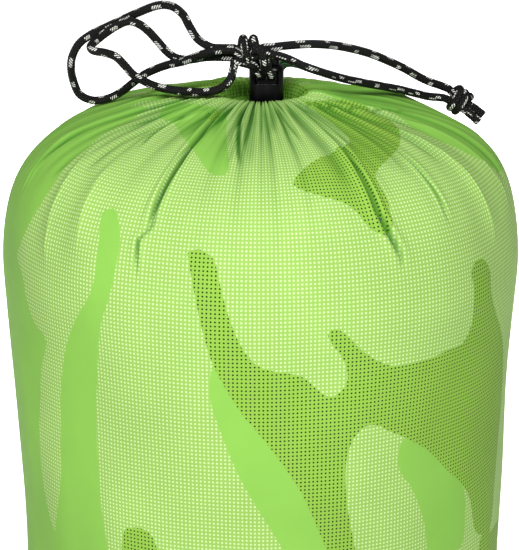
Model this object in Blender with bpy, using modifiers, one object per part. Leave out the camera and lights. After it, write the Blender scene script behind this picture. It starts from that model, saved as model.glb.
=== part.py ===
"""Stuffed drawcord sack for a sleeping bag: printed fabric tube, round base, gathered mouth, cord and lock.

The origin is the centre of the base's underside, +Z goes up and -Y is the front. Sizes are in metres;
routes and profiles are written in millimetres and scaled by MM.
"""

import math

import bmesh
import bpy
import numpy as np
from mathutils import Vector

MM = 0.001

# Driving dimensions, in millimetres.
HEIGHT = 400.0            # base to the crest of the gathered mouth
FABRIC = 0.8              # thickness the sewn fabric is drawn at
GAP = 0.4                 # clearance between neighbouring solids
ROUND_STEPS = 44          # facets round the sack
SEAM_WIDTH = 9.0          # felled seam down the back
BASE_RADIUS = 105.0       # fabric disc of the base, inside its seam
CORD_RADIUS = 2.0
CORD_SPACING = 6.5        # distance between a cord's drawn points
LOCK_CENTRE = (2.5, -7.0)
LOCK_SIZE = (16.0, 11.0)
LOCK_FOOT = -4.0          # heights near the mouth are measured from its crest
LOCK_TOP = 14.0
LOCK_HOLE = (11.0, 5.3, 11.5)      # width, lower lip and upper lip of the cord hole
PLUNGER_SIZE = (12.0, 6.8)
PLUNGER_FOOT = 4.9
PLUNGER_HOLE = (9.4, 6.9, 14.0)
BUTTON_SIZE = (10.0, 7.4)
BUTTON_FOOT = 17.0
BUTTON_TOP = 19.5
BORE_FLOOR = -2.2
RISER_X = (0.3, 4.7)      # the two strands lie side by side in the lock
CHANNEL_RADIUS = 13.8     # centre line of the hem tunnel round the mouth
CHANNEL_Z = -9.8
TUNNEL_STEPS = 11
EXIT_ANGLE = -79.6        # the cord leaves the tunnel at the front, behind the lock
EXIT_HALF_ANGLE = 31.0
RING_STEPS = 28

# Outer face of the side panel as (radius, height from the crest), from inside the mouth down to the base.
PANEL_PROFILE = [
    (18.3, -12), (18.4, -5), (19.5, -1.8), (22.5, -0.2), (27, 0), (35, -1.3), (45, -3.6), (62, -7.5),
    (80, -12.5), (95, -19.5), (107, -29), (115, -41), (119.5, -56), (121.5, -76), (120.5, -100),
    (117.8, -150), (116, -210), (115.2, -290), (114.8, -378), (113.4, -390.5), (109.7, -397.3), (105.6, -399.5),
]
# The sleeping bag inside, stopping just under the fabric.
FILL_PROFILE = [
    (0, -17), (15, -17), (19.2, -14), (20.4, -7), (23.2, -3), (27.5, -1.8), (35, -2.9), (45, -5.2),
    (61.6, -9), (79.4, -14), (94.2, -20.9), (105.9, -30.2), (113.7, -41.6), (118, -56.4), (120, -76),
    (119, -100), (116.3, -150), (114.5, -210), (113.7, -290), (113.3, -377.6), (112.1, -389.4),
    (108.6, -395.6), (104, -397.6), (0, -397.6),
]

# Cord routes as points picked by hand, measured from the mouth's centre at crest height.
OUTER_LOOP = [
    (-11.7, -15.2, 22.7), (-16.5, -14, 22.5), (-21.5, -11.5, 22), (-25.5, -8.5, 23), (-29.5, -5.5, 25.5),
    (-33, -2.5, 30.5), (-36, -0.5, 35.5), (-41, 1, 39), (-47.5, 3.5, 39), (-56, 6.5, 35.5),
    (-64, 9.5, 31.5), (-72, 11.5, 27.5), (-79, 12.5, 24), (-85, 13, 19.5), (-88.5, 14, 13.5),
    (-89.5, 15.5, 7), (-88.5, 18, -0.5), (-86, 20, -6.5), (-80, 21, -9.5), (-72.5, 18.5, -8),
    (-66, 14.5, -4), (-60, 9, 1.5), (-53.5, 4, 7), (-44, -2, 12), (-35.5, -7.5, 15), (-28, -13, 19),
    (-19.5, -17.5, 22), (-11.7, -19.7, 22.7),
]
INNER_LOOP = [
    (-11.7, -15.2, 18.3), (-18, -12.5, 18), (-25.5, -8, 17), (-33, -3.5, 15), (-39, 0, 15),
    (-43.5, 2, 17.5), (-47.5, 2.5, 22), (-52, 2.5, 27), (-56.5, 2.5, 30.5), (-61.5, 4, 31.5),
    (-67, 6, 29), (-72, 7.5, 25.5), (-76.5, 7.5, 22), (-79, 3.5, 20), (-77.5, -1, 18.7),
    (-72, -3.5, 18.2), (-67, -4.2, 16.5), (-63, -4.2, 12.5), (-59, -4, 8), (-53, -4.5, 4.5),
    (-46.5, -6.5, 2.5), (-39.5, -10, 1.9), (-32.5, -14, 2.1), (-25, -17.5, 2.7), (-18.5, -19.5, 4.8),
    (-14.2, -20.5, 9), (-12.6, -20.3, 14), (-11.9, -19.7, 18.1),
]
UPPER_TAIL = [
    (0.3, -15, 22.8), (6.5, -14, 23), (13, -12, 23.3), (22.5, -8.5, 23.2), (32, -3.5, 21.8),
    (41, 2, 19.3), (51, 8, 15.5), (59.5, 14, 11), (68, 20, 6), (75.5, 25.5, 0.8), (81, 29.5, -2.4),
    (86.5, 32.8, -4.9), (91.4, 34.8, -7.3),
]
LOWER_TAIL = [
    (0.3, -19.8, 21.2), (6.5, -19, 20.3), (12.5, -17.5, 18), (19, -15, 14.5), (27, -11.5, 11),
    (36.5, -6, 7), (46, 1, 3.5), (56, 9, 0), (66, 17, -3.5), (74.5, 24, -7), (80, 28.5, -9.2),
    (84.6, 31.2, -10.2), (88.8, 33, -11),
]
# Each strand from the hem tunnel, up behind the lock, forward through its hole and up to the knot.
RISER_PATH = [(-11.9, -9.4), (-6, -9.4), (-0.5, -8.6), (4.2, -5.4), (6.3, -0.2), (4.4, 5.2), (-0.5, 8.6),
              (-5, 9.2), (-12.5, 9.2)]
LEFT_RISER_TOP = [(-0.6, -15.6, 10.3), (-1.9, -17.4, 12.2), (-2.6, -17.9, 13.6)]
RIGHT_RISER_TOP = [(4.1, -16, 10.8), (3, -17.8, 13.8), (2.2, -18.2, 17.2)]

SLIP_KNOT = ((-5.7, -17.45, 20.5), (1, 0, 0))      # centre and axis of its wraps
END_KNOT = ((95.0, 34.0, -12.7), (0.8, 0, -0.6))
KNOT_RADIUS = 4.35        # centre line of a wrap
KNOT_PITCH = 4.7
KNOT_TURNS = 1.5
KNOT_STEPS = 22
END_STUBS = {
    "cord_end_upper": [(101.2, 36, -15.2), (104.2, 35.5, -17.2), (107.6, 34.6, -19.9)],
    "cord_end_lower": [(98.9, 31.6, -17.2), (102, 31.4, -19.6), (105, 31, -22.4)],
}

FLAP_OUTLINE = [(-3.2, -15.6), (3.2, -15.6), (3.5, -4.5), (8, -1.5), (11.5, 4), (17.4, 8.8), (16.4, 10.6),
                (9, 12.6), (3, 8), (-1.5, 2), (-3.2, -5)]
FLAP_Y = 9.2

GREEN = ("ripstop_print", (0.42, 0.70, 0.16), 0.55, 0.0)
DARK_GREEN = ("plain_taffeta", (0.05, 0.22, 0.05), 0.6, 0.0)
BLACK_BRAID = ("black_braid", (0.02, 0.02, 0.022), 0.75, 0.0)
BLACK_ACETAL = ("black_acetal", (0.012, 0.012, 0.013), 0.35, 0.0)
SPRING_WIRE = ("spring_steel", (0.55, 0.55, 0.56), 0.3, 1.0)
WADDING = ("sleeping_bag", (0.10, 0.14, 0.12), 0.8, 0.0)
BINDING = ("binding_tape", (0.03, 0.16, 0.04), 0.7, 0.0)


def clear_scene():
    for old in list(bpy.data.objects):
        bpy.data.objects.remove(old, do_unlink=True)


def material(finish):
    name, colour, roughness, metallic = finish
    found = bpy.data.materials.get(name)
    if found:
        return found
    made = bpy.data.materials.new(name)
    made.use_nodes = True
    shader = made.node_tree.nodes["Principled BSDF"]
    shader.inputs["Base Color"].default_value = (*colour, 1.0)
    shader.inputs["Roughness"].default_value = roughness
    shader.inputs["Metallic"].default_value = metallic
    return made


def add_object(name, data, finish, collection):
    made = bpy.data.objects.new(name, data)
    collection.objects.link(made)
    if finish:
        data.materials.append(material(finish))
    return made


def mesh_from(bm, name):
    mesh = bpy.data.meshes.new(name)
    bm.to_mesh(mesh)
    bm.free()
    return mesh


def smooth_route(points, spacing=CORD_SPACING):
    """Evenly spaced points along a Catmull-Rom curve through the given ones."""
    knots = np.array(points, float)
    knots = np.vstack([2 * knots[0] - knots[1], knots, 2 * knots[-1] - knots[-2]])
    steps = np.linspace(0, 1, 24, endpoint=False)[:, None]
    fine = []
    for a, b, c, d in zip(knots, knots[1:], knots[2:], knots[3:]):
        fine.append(0.5 * (2 * b + (c - a) * steps + (2 * a - 5 * b + 4 * c - d) * steps**2
                           + (3 * b - a - 3 * c + d) * steps**3))
    fine = np.vstack(fine + [knots[-2:-1]])
    along = np.r_[0, np.cumsum(np.linalg.norm(np.diff(fine, axis=0), axis=1))]
    marks = np.linspace(0, along[-1], max(3, round(along[-1] / spacing) + 1))
    return np.stack([np.interp(marks, along, fine[:, k]) for k in range(knots.shape[1])], axis=1)


def tube(name, points, radius, finish, collection, closed=False, sides=2):
    """A round bar along points given in millimetres from the mouth's centre."""
    curve = bpy.data.curves.new(name, "CURVE")
    curve.dimensions = "3D"
    curve.bevel_depth = radius * MM
    curve.bevel_resolution = sides
    curve.use_fill_caps = True
    spline = curve.splines.new("POLY")
    spline.points.add(len(points) - 1)
    for slot, (x, y, z) in zip(spline.points, points):
        slot.co = (x * MM, y * MM, (z + HEIGHT) * MM, 1)
    spline.use_cyclic_u = closed
    return add_object(name, curve, finish, collection)


def turned(name, profile, finish, collection, wall=None):
    """A profile of (radius, height) turned round Z; with a wall it is an open skin given thickness."""
    bm = bmesh.new()
    line = [bm.verts.new((r * MM, 0, (z + HEIGHT) * MM)) for r, z in profile]
    for a, b in zip(line, line[1:]):
        bm.edges.new((a, b))
    made = add_object(name, mesh_from(bm, name), finish, collection)
    screw = made.modifiers.new("turn", "SCREW")
    screw.axis = "Z"
    screw.steps = screw.render_steps = ROUND_STEPS
    screw.use_merge_vertices = True
    screw.merge_threshold = 0.00001
    if wall:
        skin = made.modifiers.new("wall", "SOLIDIFY")
        skin.thickness = wall * MM
        skin.offset = -1
    return made


def block(name, centre, size, low, high, finish, collection, upright=0.0, top=0.0):
    """A box between two heights, with its upright edges and its top edge rounded by bevels."""
    bm = bmesh.new()
    bmesh.ops.create_cube(bm, size=1.0)
    bmesh.ops.scale(bm, vec=(size[0] * MM, size[1] * MM, (high - low) * MM), verts=bm.verts)
    middle = (centre[0] * MM, centre[1] * MM, (HEIGHT + (low + high) / 2) * MM)
    bmesh.ops.translate(bm, vec=middle, verts=bm.verts)
    if upright:
        posts = [e for e in bm.edges if abs(e.verts[0].co.z - e.verts[1].co.z) > 1e-6]
        bmesh.ops.bevel(bm, geom=posts, offset=upright * MM, offset_type="OFFSET", segments=4,
                        profile=0.5, affect="EDGES", material=-1)
    if top:
        highest = max(v.co.z for v in bm.verts)
        rim = [e for e in bm.edges if min(v.co.z for v in e.verts) > highest - 1e-6]
        bmesh.ops.bevel(bm, geom=rim, offset=top * MM, offset_type="OFFSET", segments=3,
                        profile=0.5, affect="EDGES", material=-1)
    return add_object(name, mesh_from(bm, name), finish, collection)


def combine(target, tool, operation="DIFFERENCE"):
    """Cuts the tool's shape out of the target, or joins it on."""
    tool.hide_render = True
    tool.display_type = "WIRE"
    boolean = target.modifiers.new(operation.lower(), "BOOLEAN")
    boolean.operation = operation
    boolean.object = tool


def wraps(knot):
    """Points of a cord wound one and a half turns round a knot's axis, so two lobes lie side by side on top."""
    centre, axis = Vector(knot[0]), Vector(knot[1]).normalized()
    across = Vector((0, 1, 0))
    over = axis.cross(across)
    points = []
    for i in range(KNOT_STEPS + 1):
        turn = KNOT_TURNS * i / KNOT_STEPS
        angle = turn * math.tau
        lean = KNOT_PITCH * (turn - KNOT_TURNS / 2)
        points.append(centre + axis * lean + KNOT_RADIUS * (across * math.cos(angle) + over * math.sin(angle)))
    return points


def build_shell(parts):
    """Side panel, base, seams and the sleeping bag that fills them."""
    turned("side_panel", PANEL_PROFILE, GREEN, parts, wall=FABRIC)
    turned("stuffed_sleeping_bag", FILL_PROFILE, WADDING, parts)

    bm = bmesh.new()
    bmesh.ops.create_cone(bm, cap_ends=True, segments=ROUND_STEPS, radius1=BASE_RADIUS * MM,
                          radius2=BASE_RADIUS * MM, depth=FABRIC * MM)
    bmesh.ops.translate(bm, vec=(0, 0, FABRIC / 2 * MM), verts=bm.verts)
    add_object("base_panel", mesh_from(bm, "base_panel"), GREEN, parts)

    tape_low = -HEIGHT + FABRIC + GAP
    tape = [(BASE_RADIUS - 1.5, tape_low), (BASE_RADIUS - 8, tape_low)]
    turned("base_binding", tape, BINDING, parts, wall=FABRIC)

    bm = bmesh.new()
    seam_line = [p for p in PANEL_PROFILE if p[0] > 34 and p[1] > -380]
    row = [bm.verts.new((-SEAM_WIDTH / 2 * MM, r * MM, (z + HEIGHT) * MM)) for r, z in seam_line]
    edges = [bm.edges.new(pair) for pair in zip(row, row[1:])]
    grown = bmesh.ops.extrude_edge_only(bm, edges=edges)["geom"]
    moved = [v for v in grown if isinstance(v, bmesh.types.BMVert)]
    bmesh.ops.translate(bm, vec=(SEAM_WIDTH * MM, 0, 0), verts=moved)
    seam = add_object("side_seam", mesh_from(bm, "side_seam"), GREEN, parts)
    lift = seam.modifiers.new("lift", "DISPLACE")
    lift.mid_level = 0
    lift.strength = GAP * MM
    skin = seam.modifiers.new("wall", "SOLIDIFY")
    skin.thickness = FABRIC * MM
    skin.offset = 1


def build_mouth(parts, cutters):
    """Hem tunnel with its cord exit, the flap under it and the cord that runs in the tunnel."""
    tunnel = []
    for i in range(TUNNEL_STEPS + 1):
        angle = math.radians(-80 - 340 * i / TUNNEL_STEPS)
        tunnel.append((CHANNEL_RADIUS + 3.2 * math.cos(angle), CHANNEL_Z + 4.5 * math.sin(angle)))
    channel = turned("drawcord_channel", tunnel, GREEN, parts, wall=0.6)
    exit_box = block("cord_exit_cutter", (2.5, -10), (9.4, 5), CHANNEL_Z - 2.6, CHANNEL_Z + 3, None, cutters)
    combine(channel, exit_box)

    ring = []
    start, end = EXIT_ANGLE + EXIT_HALF_ANGLE, EXIT_ANGLE - EXIT_HALF_ANGLE + 360
    for i in range(RING_STEPS + 1):
        angle = math.radians(start + (end - start) * i / RING_STEPS)
        ring.append((CHANNEL_RADIUS * math.cos(angle), CHANNEL_RADIUS * math.sin(angle), CHANNEL_Z))
    tube("drawcord_ring", ring, CORD_RADIUS, BLACK_BRAID, parts)

    flap = bpy.data.curves.new("storm_flap", "CURVE")
    flap.dimensions = "2D"
    flap.fill_mode = "BOTH"
    flap.extrude = FABRIC / 2 * MM
    spline = flap.splines.new("POLY")
    spline.points.add(len(FLAP_OUTLINE) - 1)
    for slot, (x, z) in zip(spline.points, FLAP_OUTLINE):
        slot.co = (x * MM, z * MM, 0, 1)
    spline.use_cyclic_u = True
    made = add_object("storm_flap", flap, DARK_GREEN, parts)
    made.location = (0, FLAP_Y * MM, HEIGHT * MM)
    made.rotation_euler = (math.radians(90), 0, 0)


def build_cords(parts):
    """The drawcord's free stretches and its two knots."""
    for name, x, top in (("cord_riser_left", RISER_X[0], LEFT_RISER_TOP),
                         ("cord_riser_right", RISER_X[1], RIGHT_RISER_TOP)):
        route = [(x, y, z) for y, z in RISER_PATH] + top
        tube(name, smooth_route(route, 3.5), CORD_RADIUS, BLACK_BRAID, parts)
    for name, route in (("cord_loop_outer", OUTER_LOOP), ("cord_loop_inner", INNER_LOOP),
                        ("cord_tail_upper", UPPER_TAIL), ("cord_tail_lower", LOWER_TAIL)):
        tube(name, smooth_route(route), CORD_RADIUS, BLACK_BRAID, parts)
    tube("slip_knot", wraps(SLIP_KNOT), CORD_RADIUS, BLACK_BRAID, parts)
    tube("end_knot", wraps(END_KNOT), CORD_RADIUS, BLACK_BRAID, parts)
    for name, route in END_STUBS.items():
        tube(name, route, CORD_RADIUS, BLACK_BRAID, parts)


def build_lock(parts, cutters):
    """Spring-loaded cord lock: barrel, plunger with its button, and the spring between them."""
    barrel = block("cord_lock_barrel", LOCK_CENTRE, LOCK_SIZE, LOCK_FOOT, LOCK_TOP, BLACK_ACETAL, parts,
                   upright=4.0, top=3.2)
    bore_size = (PLUNGER_SIZE[0] + 0.6, PLUNGER_SIZE[1] + 0.6)
    bore = block("bore_cutter", LOCK_CENTRE, bore_size, BORE_FLOOR, LOCK_TOP + 4, None, cutters, upright=2.3)
    combine(barrel, bore)
    through = LOCK_SIZE[1] + 6
    width, lower, upper = LOCK_HOLE
    combine(barrel, block("barrel_hole", LOCK_CENTRE, (width, through), lower, upper, None, cutters))

    plunger = block("cord_lock_plunger", LOCK_CENTRE, PLUNGER_SIZE, PLUNGER_FOOT, BUTTON_FOOT, BLACK_ACETAL,
                    parts, upright=2.0)
    width, lower, upper = PLUNGER_HOLE
    combine(plunger, block("plunger_hole", LOCK_CENTRE, (width, through), lower, upper, None, cutters))
    button = block("button_form", LOCK_CENTRE, BUTTON_SIZE, BUTTON_FOOT - 1, BUTTON_TOP, None, cutters,
                   upright=2.6, top=1.2)
    combine(plunger, button, "UNION")

    coil = []
    turns = 4
    low, high = BORE_FLOOR + 0.8, PLUNGER_FOOT - 0.8
    for i in range(12 * turns + 1):
        angle = math.tau * i / 12
        height = low + (high - low) * i / (12 * turns)
        coil.append((LOCK_CENTRE[0] + 2.4 * math.cos(angle), LOCK_CENTRE[1] + 2.4 * math.sin(angle), height))
    tube("cord_lock_spring", coil, 0.4, SPRING_WIRE, parts, sides=1)


def main():
    clear_scene()
    parts = bpy.data.collections.new("drawcord_stuff_sack")
    cutters = bpy.data.collections.new("cutters")
    for collection in (parts, cutters):
        bpy.context.scene.collection.children.link(collection)
    build_shell(parts)
    build_mouth(parts, cutters)
    build_cords(parts)
    build_lock(parts, cutters)
    for made in parts.objects:
        if made.type == "MESH":
            made.data.shade_smooth()
            made.data.set_sharp_from_angle(angle=math.radians(35))


main()
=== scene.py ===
"""Finished looks of a packed drawcord stuff sack: printed body, gathered mouth, flecked cord and its lock.

Lengths are in metres, except where a class says millimetres. Heights near the mouth are measured from the
crest of the gathered hem, azimuths are in degrees from the front, positive towards +X, and a distance "along"
runs over the cloth from the crest outwards.
"""
import logging
import math
from dataclasses import dataclass, field
from enum import Enum
from typing import Callable, Sequence

import bmesh
import bpy
import numpy as np
from mathutils import Matrix, Vector


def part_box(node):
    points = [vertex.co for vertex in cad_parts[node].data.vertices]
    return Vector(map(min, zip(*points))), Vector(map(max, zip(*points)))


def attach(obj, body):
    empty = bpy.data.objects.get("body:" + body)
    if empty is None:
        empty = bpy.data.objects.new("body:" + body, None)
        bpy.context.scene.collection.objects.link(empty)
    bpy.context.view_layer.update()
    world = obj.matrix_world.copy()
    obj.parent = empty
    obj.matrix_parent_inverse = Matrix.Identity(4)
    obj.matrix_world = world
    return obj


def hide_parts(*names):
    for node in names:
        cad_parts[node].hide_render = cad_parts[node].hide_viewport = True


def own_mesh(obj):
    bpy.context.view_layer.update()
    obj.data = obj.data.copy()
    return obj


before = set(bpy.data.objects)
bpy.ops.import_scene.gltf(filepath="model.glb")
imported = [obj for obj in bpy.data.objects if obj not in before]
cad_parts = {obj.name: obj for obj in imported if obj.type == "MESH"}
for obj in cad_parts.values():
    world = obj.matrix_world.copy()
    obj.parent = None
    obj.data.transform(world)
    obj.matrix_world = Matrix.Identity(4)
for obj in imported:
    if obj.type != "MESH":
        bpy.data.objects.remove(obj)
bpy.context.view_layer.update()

MM = 0.001
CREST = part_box("side_panel")[1][2]
SACK, PLUNGER = "sack", "lock_plunger"
CLOTH_MAP, CORD_MAP = "cloth", "cord"
FOLD_SHADE = "fold_shade"  # the attribute that holds how little light reaches the cloth
INSIDE, OUTSIDE = 5 * MM, -5 * MM  # well inside a printed zone, and well outside it
WAVE_LENGTH = math.tau / 20  # distance between the bands of a wave texture at a scale of one
LOG = logging.getLogger("stuff_sack")

Array = np.ndarray
Point = tuple[float, float, float]
Route = Sequence[Point]
Measure = Callable[[Array, Array], Array]


class Zone(Enum):
    """Printed areas of the cloth, named for the attribute that holds how far inside one a point lies."""

    SOLID = "solid_print"
    DARK = "dark_print"


# ---------------------------------------------------------------------------------------------- shaping tools


def linear(colour: str) -> tuple[float, float, float, float]:
    """Turns an sRGB hex colour into linear light.

    Args:
        colour: Six hex digits.

    Returns:
        Red, green, blue and an alpha of one.
    """
    parts = [int(colour[i : i + 2], 16) / 255 for i in (0, 2, 4)]
    return (*(p / 12.92 if p <= 0.04045 else ((p + 0.055) / 1.055) ** 2.4 for p in parts), 1.0)


def smooth_line(points: Sequence[Sequence[float]], spacing: float) -> Array:
    """Evenly spaced points on a Catmull-Rom curve through the given ones.

    Args:
        points: Points of two or three coordinates.
        spacing: Distance between the points that come back.

    Returns:
        One row for each point.
    """
    knots = np.array(points, float)
    knots = np.vstack([2 * knots[0] - knots[1], knots, 2 * knots[-1] - knots[-2]])
    steps = np.linspace(0, 1, 24, endpoint=False)[:, None]
    fine = []
    for a, b, c, d in zip(knots, knots[1:], knots[2:], knots[3:]):
        fine.append(0.5 * (2 * b + (c - a) * steps + (2 * a - 5 * b + 4 * c - d) * steps**2
                           + (3 * b - a - 3 * c + d) * steps**3))
    fine = np.vstack(fine + [knots[-2:-1]])
    along = np.r_[0, np.cumsum(np.linalg.norm(np.diff(fine, axis=0), axis=1))]
    marks = np.linspace(0, along[-1], max(3, round(along[-1] / spacing) + 1))
    return np.stack([np.interp(marks, along, fine[:, k]) for k in range(knots.shape[1])], axis=1)


def smooth_step(low: float, high: float, value: Array) -> Array:
    """Rises smoothly from 0 at low to 1 at high; low may be the larger of the two."""
    part = np.clip((value - low) / (high - low), 0, 1)
    return part * part * (3 - 2 * part)


def new_piece(
    name: str, bm: bmesh.types.BMesh, finish: bpy.types.Material, angle: float = 40.0
) -> bpy.types.Object:
    """Makes an object of a bmesh, at the origin, shaded smooth up to an angle in degrees.

    Args:
        name: The piece's name.
        bm: The shape, which is freed.
        finish: Its material.
        angle: Edges sharper than this stay sharp.

    Returns:
        The new object, in the scene.
    """
    mesh = bpy.data.meshes.new(name)
    bm.to_mesh(mesh)
    bm.free()
    mesh.materials.append(finish)
    mesh.shade_smooth()
    mesh.set_sharp_from_angle(angle=math.radians(angle))
    made = bpy.data.objects.new(name, mesh)
    bpy.context.scene.collection.objects.link(made)
    LOG.info("%s: %d faces", name, len(mesh.polygons))
    return made


def bent_grid(
    columns: Array,
    rows: Array,
    shape: Measure,
    flat: Measure,
    map_name: str,
    marks: dict[str, Measure] | None = None,
) -> bmesh.types.BMesh:
    """Bends a flat grid into a sheet or a tube, and keeps its flat measure as a UV map.

    Args:
        columns: The first measure at each column.
        rows: The second measure at each row.
        shape: Gives the places of points from their two measures.
        flat: Gives their places on the flat cut.
        map_name: Name of the UV map.
        marks: Attributes by name, each with what gives its values.

    Returns:
        The bent grid, its meeting edges not yet merged.
    """
    bm = bmesh.new()
    bmesh.ops.create_grid(bm, x_segments=len(columns) - 1, y_segments=len(rows) - 1, size=0.5)
    mesh = bpy.data.meshes.new("bent")
    bm.to_mesh(mesh)
    bm.free()
    places = np.empty(len(mesh.vertices) * 3, np.float32)
    mesh.vertices.foreach_get("co", places)
    places = places.reshape(-1, 3)
    a = columns[np.rint((places[:, 0] + 0.5) * (len(columns) - 1)).astype(int)]
    b = rows[np.rint((places[:, 1] + 0.5) * (len(rows) - 1)).astype(int)]
    mesh.vertices.foreach_set("co", shape(a, b).astype(np.float32).ravel())
    corners = np.empty(len(mesh.loops), np.int32)
    mesh.loops.foreach_get("vertex_index", corners)
    flat_map = mesh.uv_layers.new(name=map_name)
    flat_map.uv.foreach_set("vector", flat(a, b)[corners].astype(np.float32).ravel())
    for name, value in (marks or {}).items():
        mark = mesh.attributes.new(name, "FLOAT", "POINT")
        mark.data.foreach_set("value", value(a, b).astype(np.float32))
    bm = bmesh.new()
    bm.from_mesh(mesh)
    bpy.data.meshes.remove(mesh)
    return bm


def fitted(piece: bpy.types.Object, node: str | None = None, body: str = SACK) -> bpy.types.Object:
    """Makes a piece ride on a body, and hides the CAD node that it stands for.

    Args:
        piece: The piece.
        node: The CAD node that it replaces, if it does.
        body: The body that carries it.

    Returns:
        The same piece.
    """
    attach(piece, body)
    if node:
        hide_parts(node)
    return piece


def thicken(piece: bpy.types.Object, wall: float, offset: float = -1.0, inner: int = 0) -> None:
    """Gives a sheet its thickness.

    Args:
        piece: The sheet.
        wall: Its thickness.
        offset: Which way it grows, from -1, inwards, to 1.
        inner: How many material slots further on its inner side's material stands.
    """
    skin = piece.modifiers.new("thickness", "SOLIDIFY")
    skin.thickness = wall
    skin.offset = offset
    skin.material_offset = inner


def applied(target: bpy.types.Object) -> None:
    """Makes an object's modifiers part of its mesh.

    Args:
        target: The object.
    """
    view = bpy.context.evaluated_depsgraph_get()
    target.data = bpy.data.meshes.new_from_object(target.evaluated_get(view), depsgraph=view)
    target.modifiers.clear()


# --------------------------------------------------------------------------------------------------- finishes


class NodeSheet:
    """A material's node tree, with its Principled shader."""

    def __init__(self, name: str) -> None:
        """Starts a material with a Principled shader and its output.

        Args:
            name: The finish's name.
        """
        self.material = bpy.data.materials.new(name)
        self.material.use_nodes = True
        self.tree = self.material.node_tree
        self.shader = self.tree.nodes["Principled BSDF"]

    def add(self, kind: str, inputs: dict, output: int | str = 0, **settings) -> bpy.types.NodeSocket:
        """Adds a node with its settings and links.

        Args:
            kind: The node's type.
            inputs: What each input gets, by name or number: a socket to link or a value.
            output: Which of its outputs to hand back.
            settings: Its properties.

        Returns:
            The output socket.
        """
        node = self.tree.nodes.new(kind)
        for key, value in settings.items():
            setattr(node, key, value)
        for key, value in inputs.items():
            if isinstance(value, bpy.types.NodeSocket):
                self.tree.links.new(value, node.inputs[key])
            else:
                node.inputs[key].default_value = value
        return node.outputs[output]

    def finish(self, **inputs) -> bpy.types.Material:
        """Sets the shader's inputs.

        Args:
            inputs: What each gets, its name written with underscores: a socket to link or a value.

        Returns:
            The material.
        """
        for key, value in inputs.items():
            socket = self.shader.inputs[key.replace("_", " ")]
            if isinstance(value, bpy.types.NodeSocket):
                self.tree.links.new(value, socket)
            else:
                socket.default_value = value
        return self.material


@dataclass(frozen=True)
class PrintedNylon:
    """Nylon taffeta, woven fine, printed with a dotted camouflage: nearly matt, with crisp small dots."""

    pitch: float = 1.805 * MM
    light_dot: float = 0.92 * MM
    dark_dot: float = 0.84 * MM
    light_ground: str = "97bf5d"
    light_ink: str = "c8eaa4"
    dark_ground: str = "8dbb47"
    dark_ink: str = "16330a"
    solid: str = "8ac252"
    painted_fold_shade: str = "1e660c"
    dot_blur: float = 0.05
    edge: float = 0.25 * MM
    thread: float = 0.9 * MM

    def build(self) -> bpy.types.Material:
        """Prints dots by zone, paints shade into the folds and lays a taffeta weave and slight puckers over
        them.

        Returns:
            The material.
        """
        s = NodeSheet("printed_nylon_taffeta")
        flat = s.add("ShaderNodeUVMap", {}, uv_map=CLOTH_MAP)
        cell = s.add("ShaderNodeVectorMath", {0: flat, "Scale": 1 / self.pitch}, operation="SCALE")
        cell = s.add("ShaderNodeVectorMath", {0: cell}, operation="FRACTION")
        cell = s.add("ShaderNodeVectorMath", {0: cell, 1: (0.5, 0.5, 0)}, operation="SUBTRACT")
        from_dot = s.add("ShaderNodeVectorMath", {0: cell}, "Value", operation="LENGTH")
        colours = []
        for size, ground, ink in ((self.light_dot, self.light_ground, self.light_ink),
                                  (self.dark_dot, self.dark_ground, self.dark_ink)):
            radius = size / 2 / self.pitch
            dot = s.add("ShaderNodeMapRange", {"Value": from_dot, "From Min": radius + self.dot_blur,
                                               "From Max": radius - self.dot_blur})
            colours.append(s.add("ShaderNodeMix", {"Factor": dot, 6: linear(ground), 7: linear(ink)},
                                 2, data_type="RGBA"))
        printed = colours[0]
        for zone, colour in ((Zone.SOLID, linear(self.solid)), (Zone.DARK, colours[1])):
            inside = s.add("ShaderNodeAttribute", {}, "Fac", attribute_name=zone.value)
            inside = s.add("ShaderNodeMapRange", {"Value": inside, "From Min": -self.edge,
                                                  "From Max": self.edge})
            printed = s.add("ShaderNodeMix", {"Factor": inside, 6: printed, 7: colour}, 2, data_type="RGBA")
        place = s.add("ShaderNodeTexCoord", {}, "Object")
        shade = s.add("ShaderNodeTexNoise", {"Vector": place, "Scale": 22.0, "Detail": 3.0})
        shade = s.add("ShaderNodeMapRange", {"Value": shade, "From Min": 0.3, "From Max": 0.7,
                                             "To Min": 0.93, "To Max": 1.05})
        printed = s.add("ShaderNodeVectorMath", {0: printed, "Scale": shade}, operation="SCALE")
        # Painted shade: the print is drawn towards a deep green where the fold_shade attribute says little
        # light reaches, in pleats, creases and down the mouth.
        fold = s.add("ShaderNodeAttribute", {}, "Fac", attribute_name=FOLD_SHADE)
        printed = s.add("ShaderNodeMix", {"Factor": fold, 6: printed, 7: linear(self.painted_fold_shade)},
                        2, data_type="RGBA")
        # The real weave, near 0.2 mm, is too fine to show, so its threads are drawn four times as coarse.
        threads = s.add("ShaderNodeVectorMath", {0: flat, "Scale": math.tau / self.thread}, operation="SCALE")
        threads = s.add("ShaderNodeVectorMath", {0: threads}, operation="SINE")
        threads = s.add("ShaderNodeVectorMath", {0: threads, 1: (0.5, 0.5, 0)}, "Value",
                        operation="DOT_PRODUCT")
        pucker = s.add("ShaderNodeTexNoise", {"Vector": place, "Scale": 120.0, "Detail": 3.0,
                                              "Roughness": 0.45})
        relief = s.add("ShaderNodeMath", {0: threads, 1: 0.06, 2: pucker}, operation="MULTIPLY_ADD")
        relief = s.add("ShaderNodeBump", {"Height": relief, "Strength": 0.35, "Distance": 0.5 * MM})
        return s.finish(Base_Color=printed, Roughness=0.72, Specular_IOR_Level=0.1, IOR=1.53,
                        Sheen_Weight=0.02, Sheen_Roughness=0.35, Sheen_Tint=linear("e4f2c8"), Normal=relief)


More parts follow.
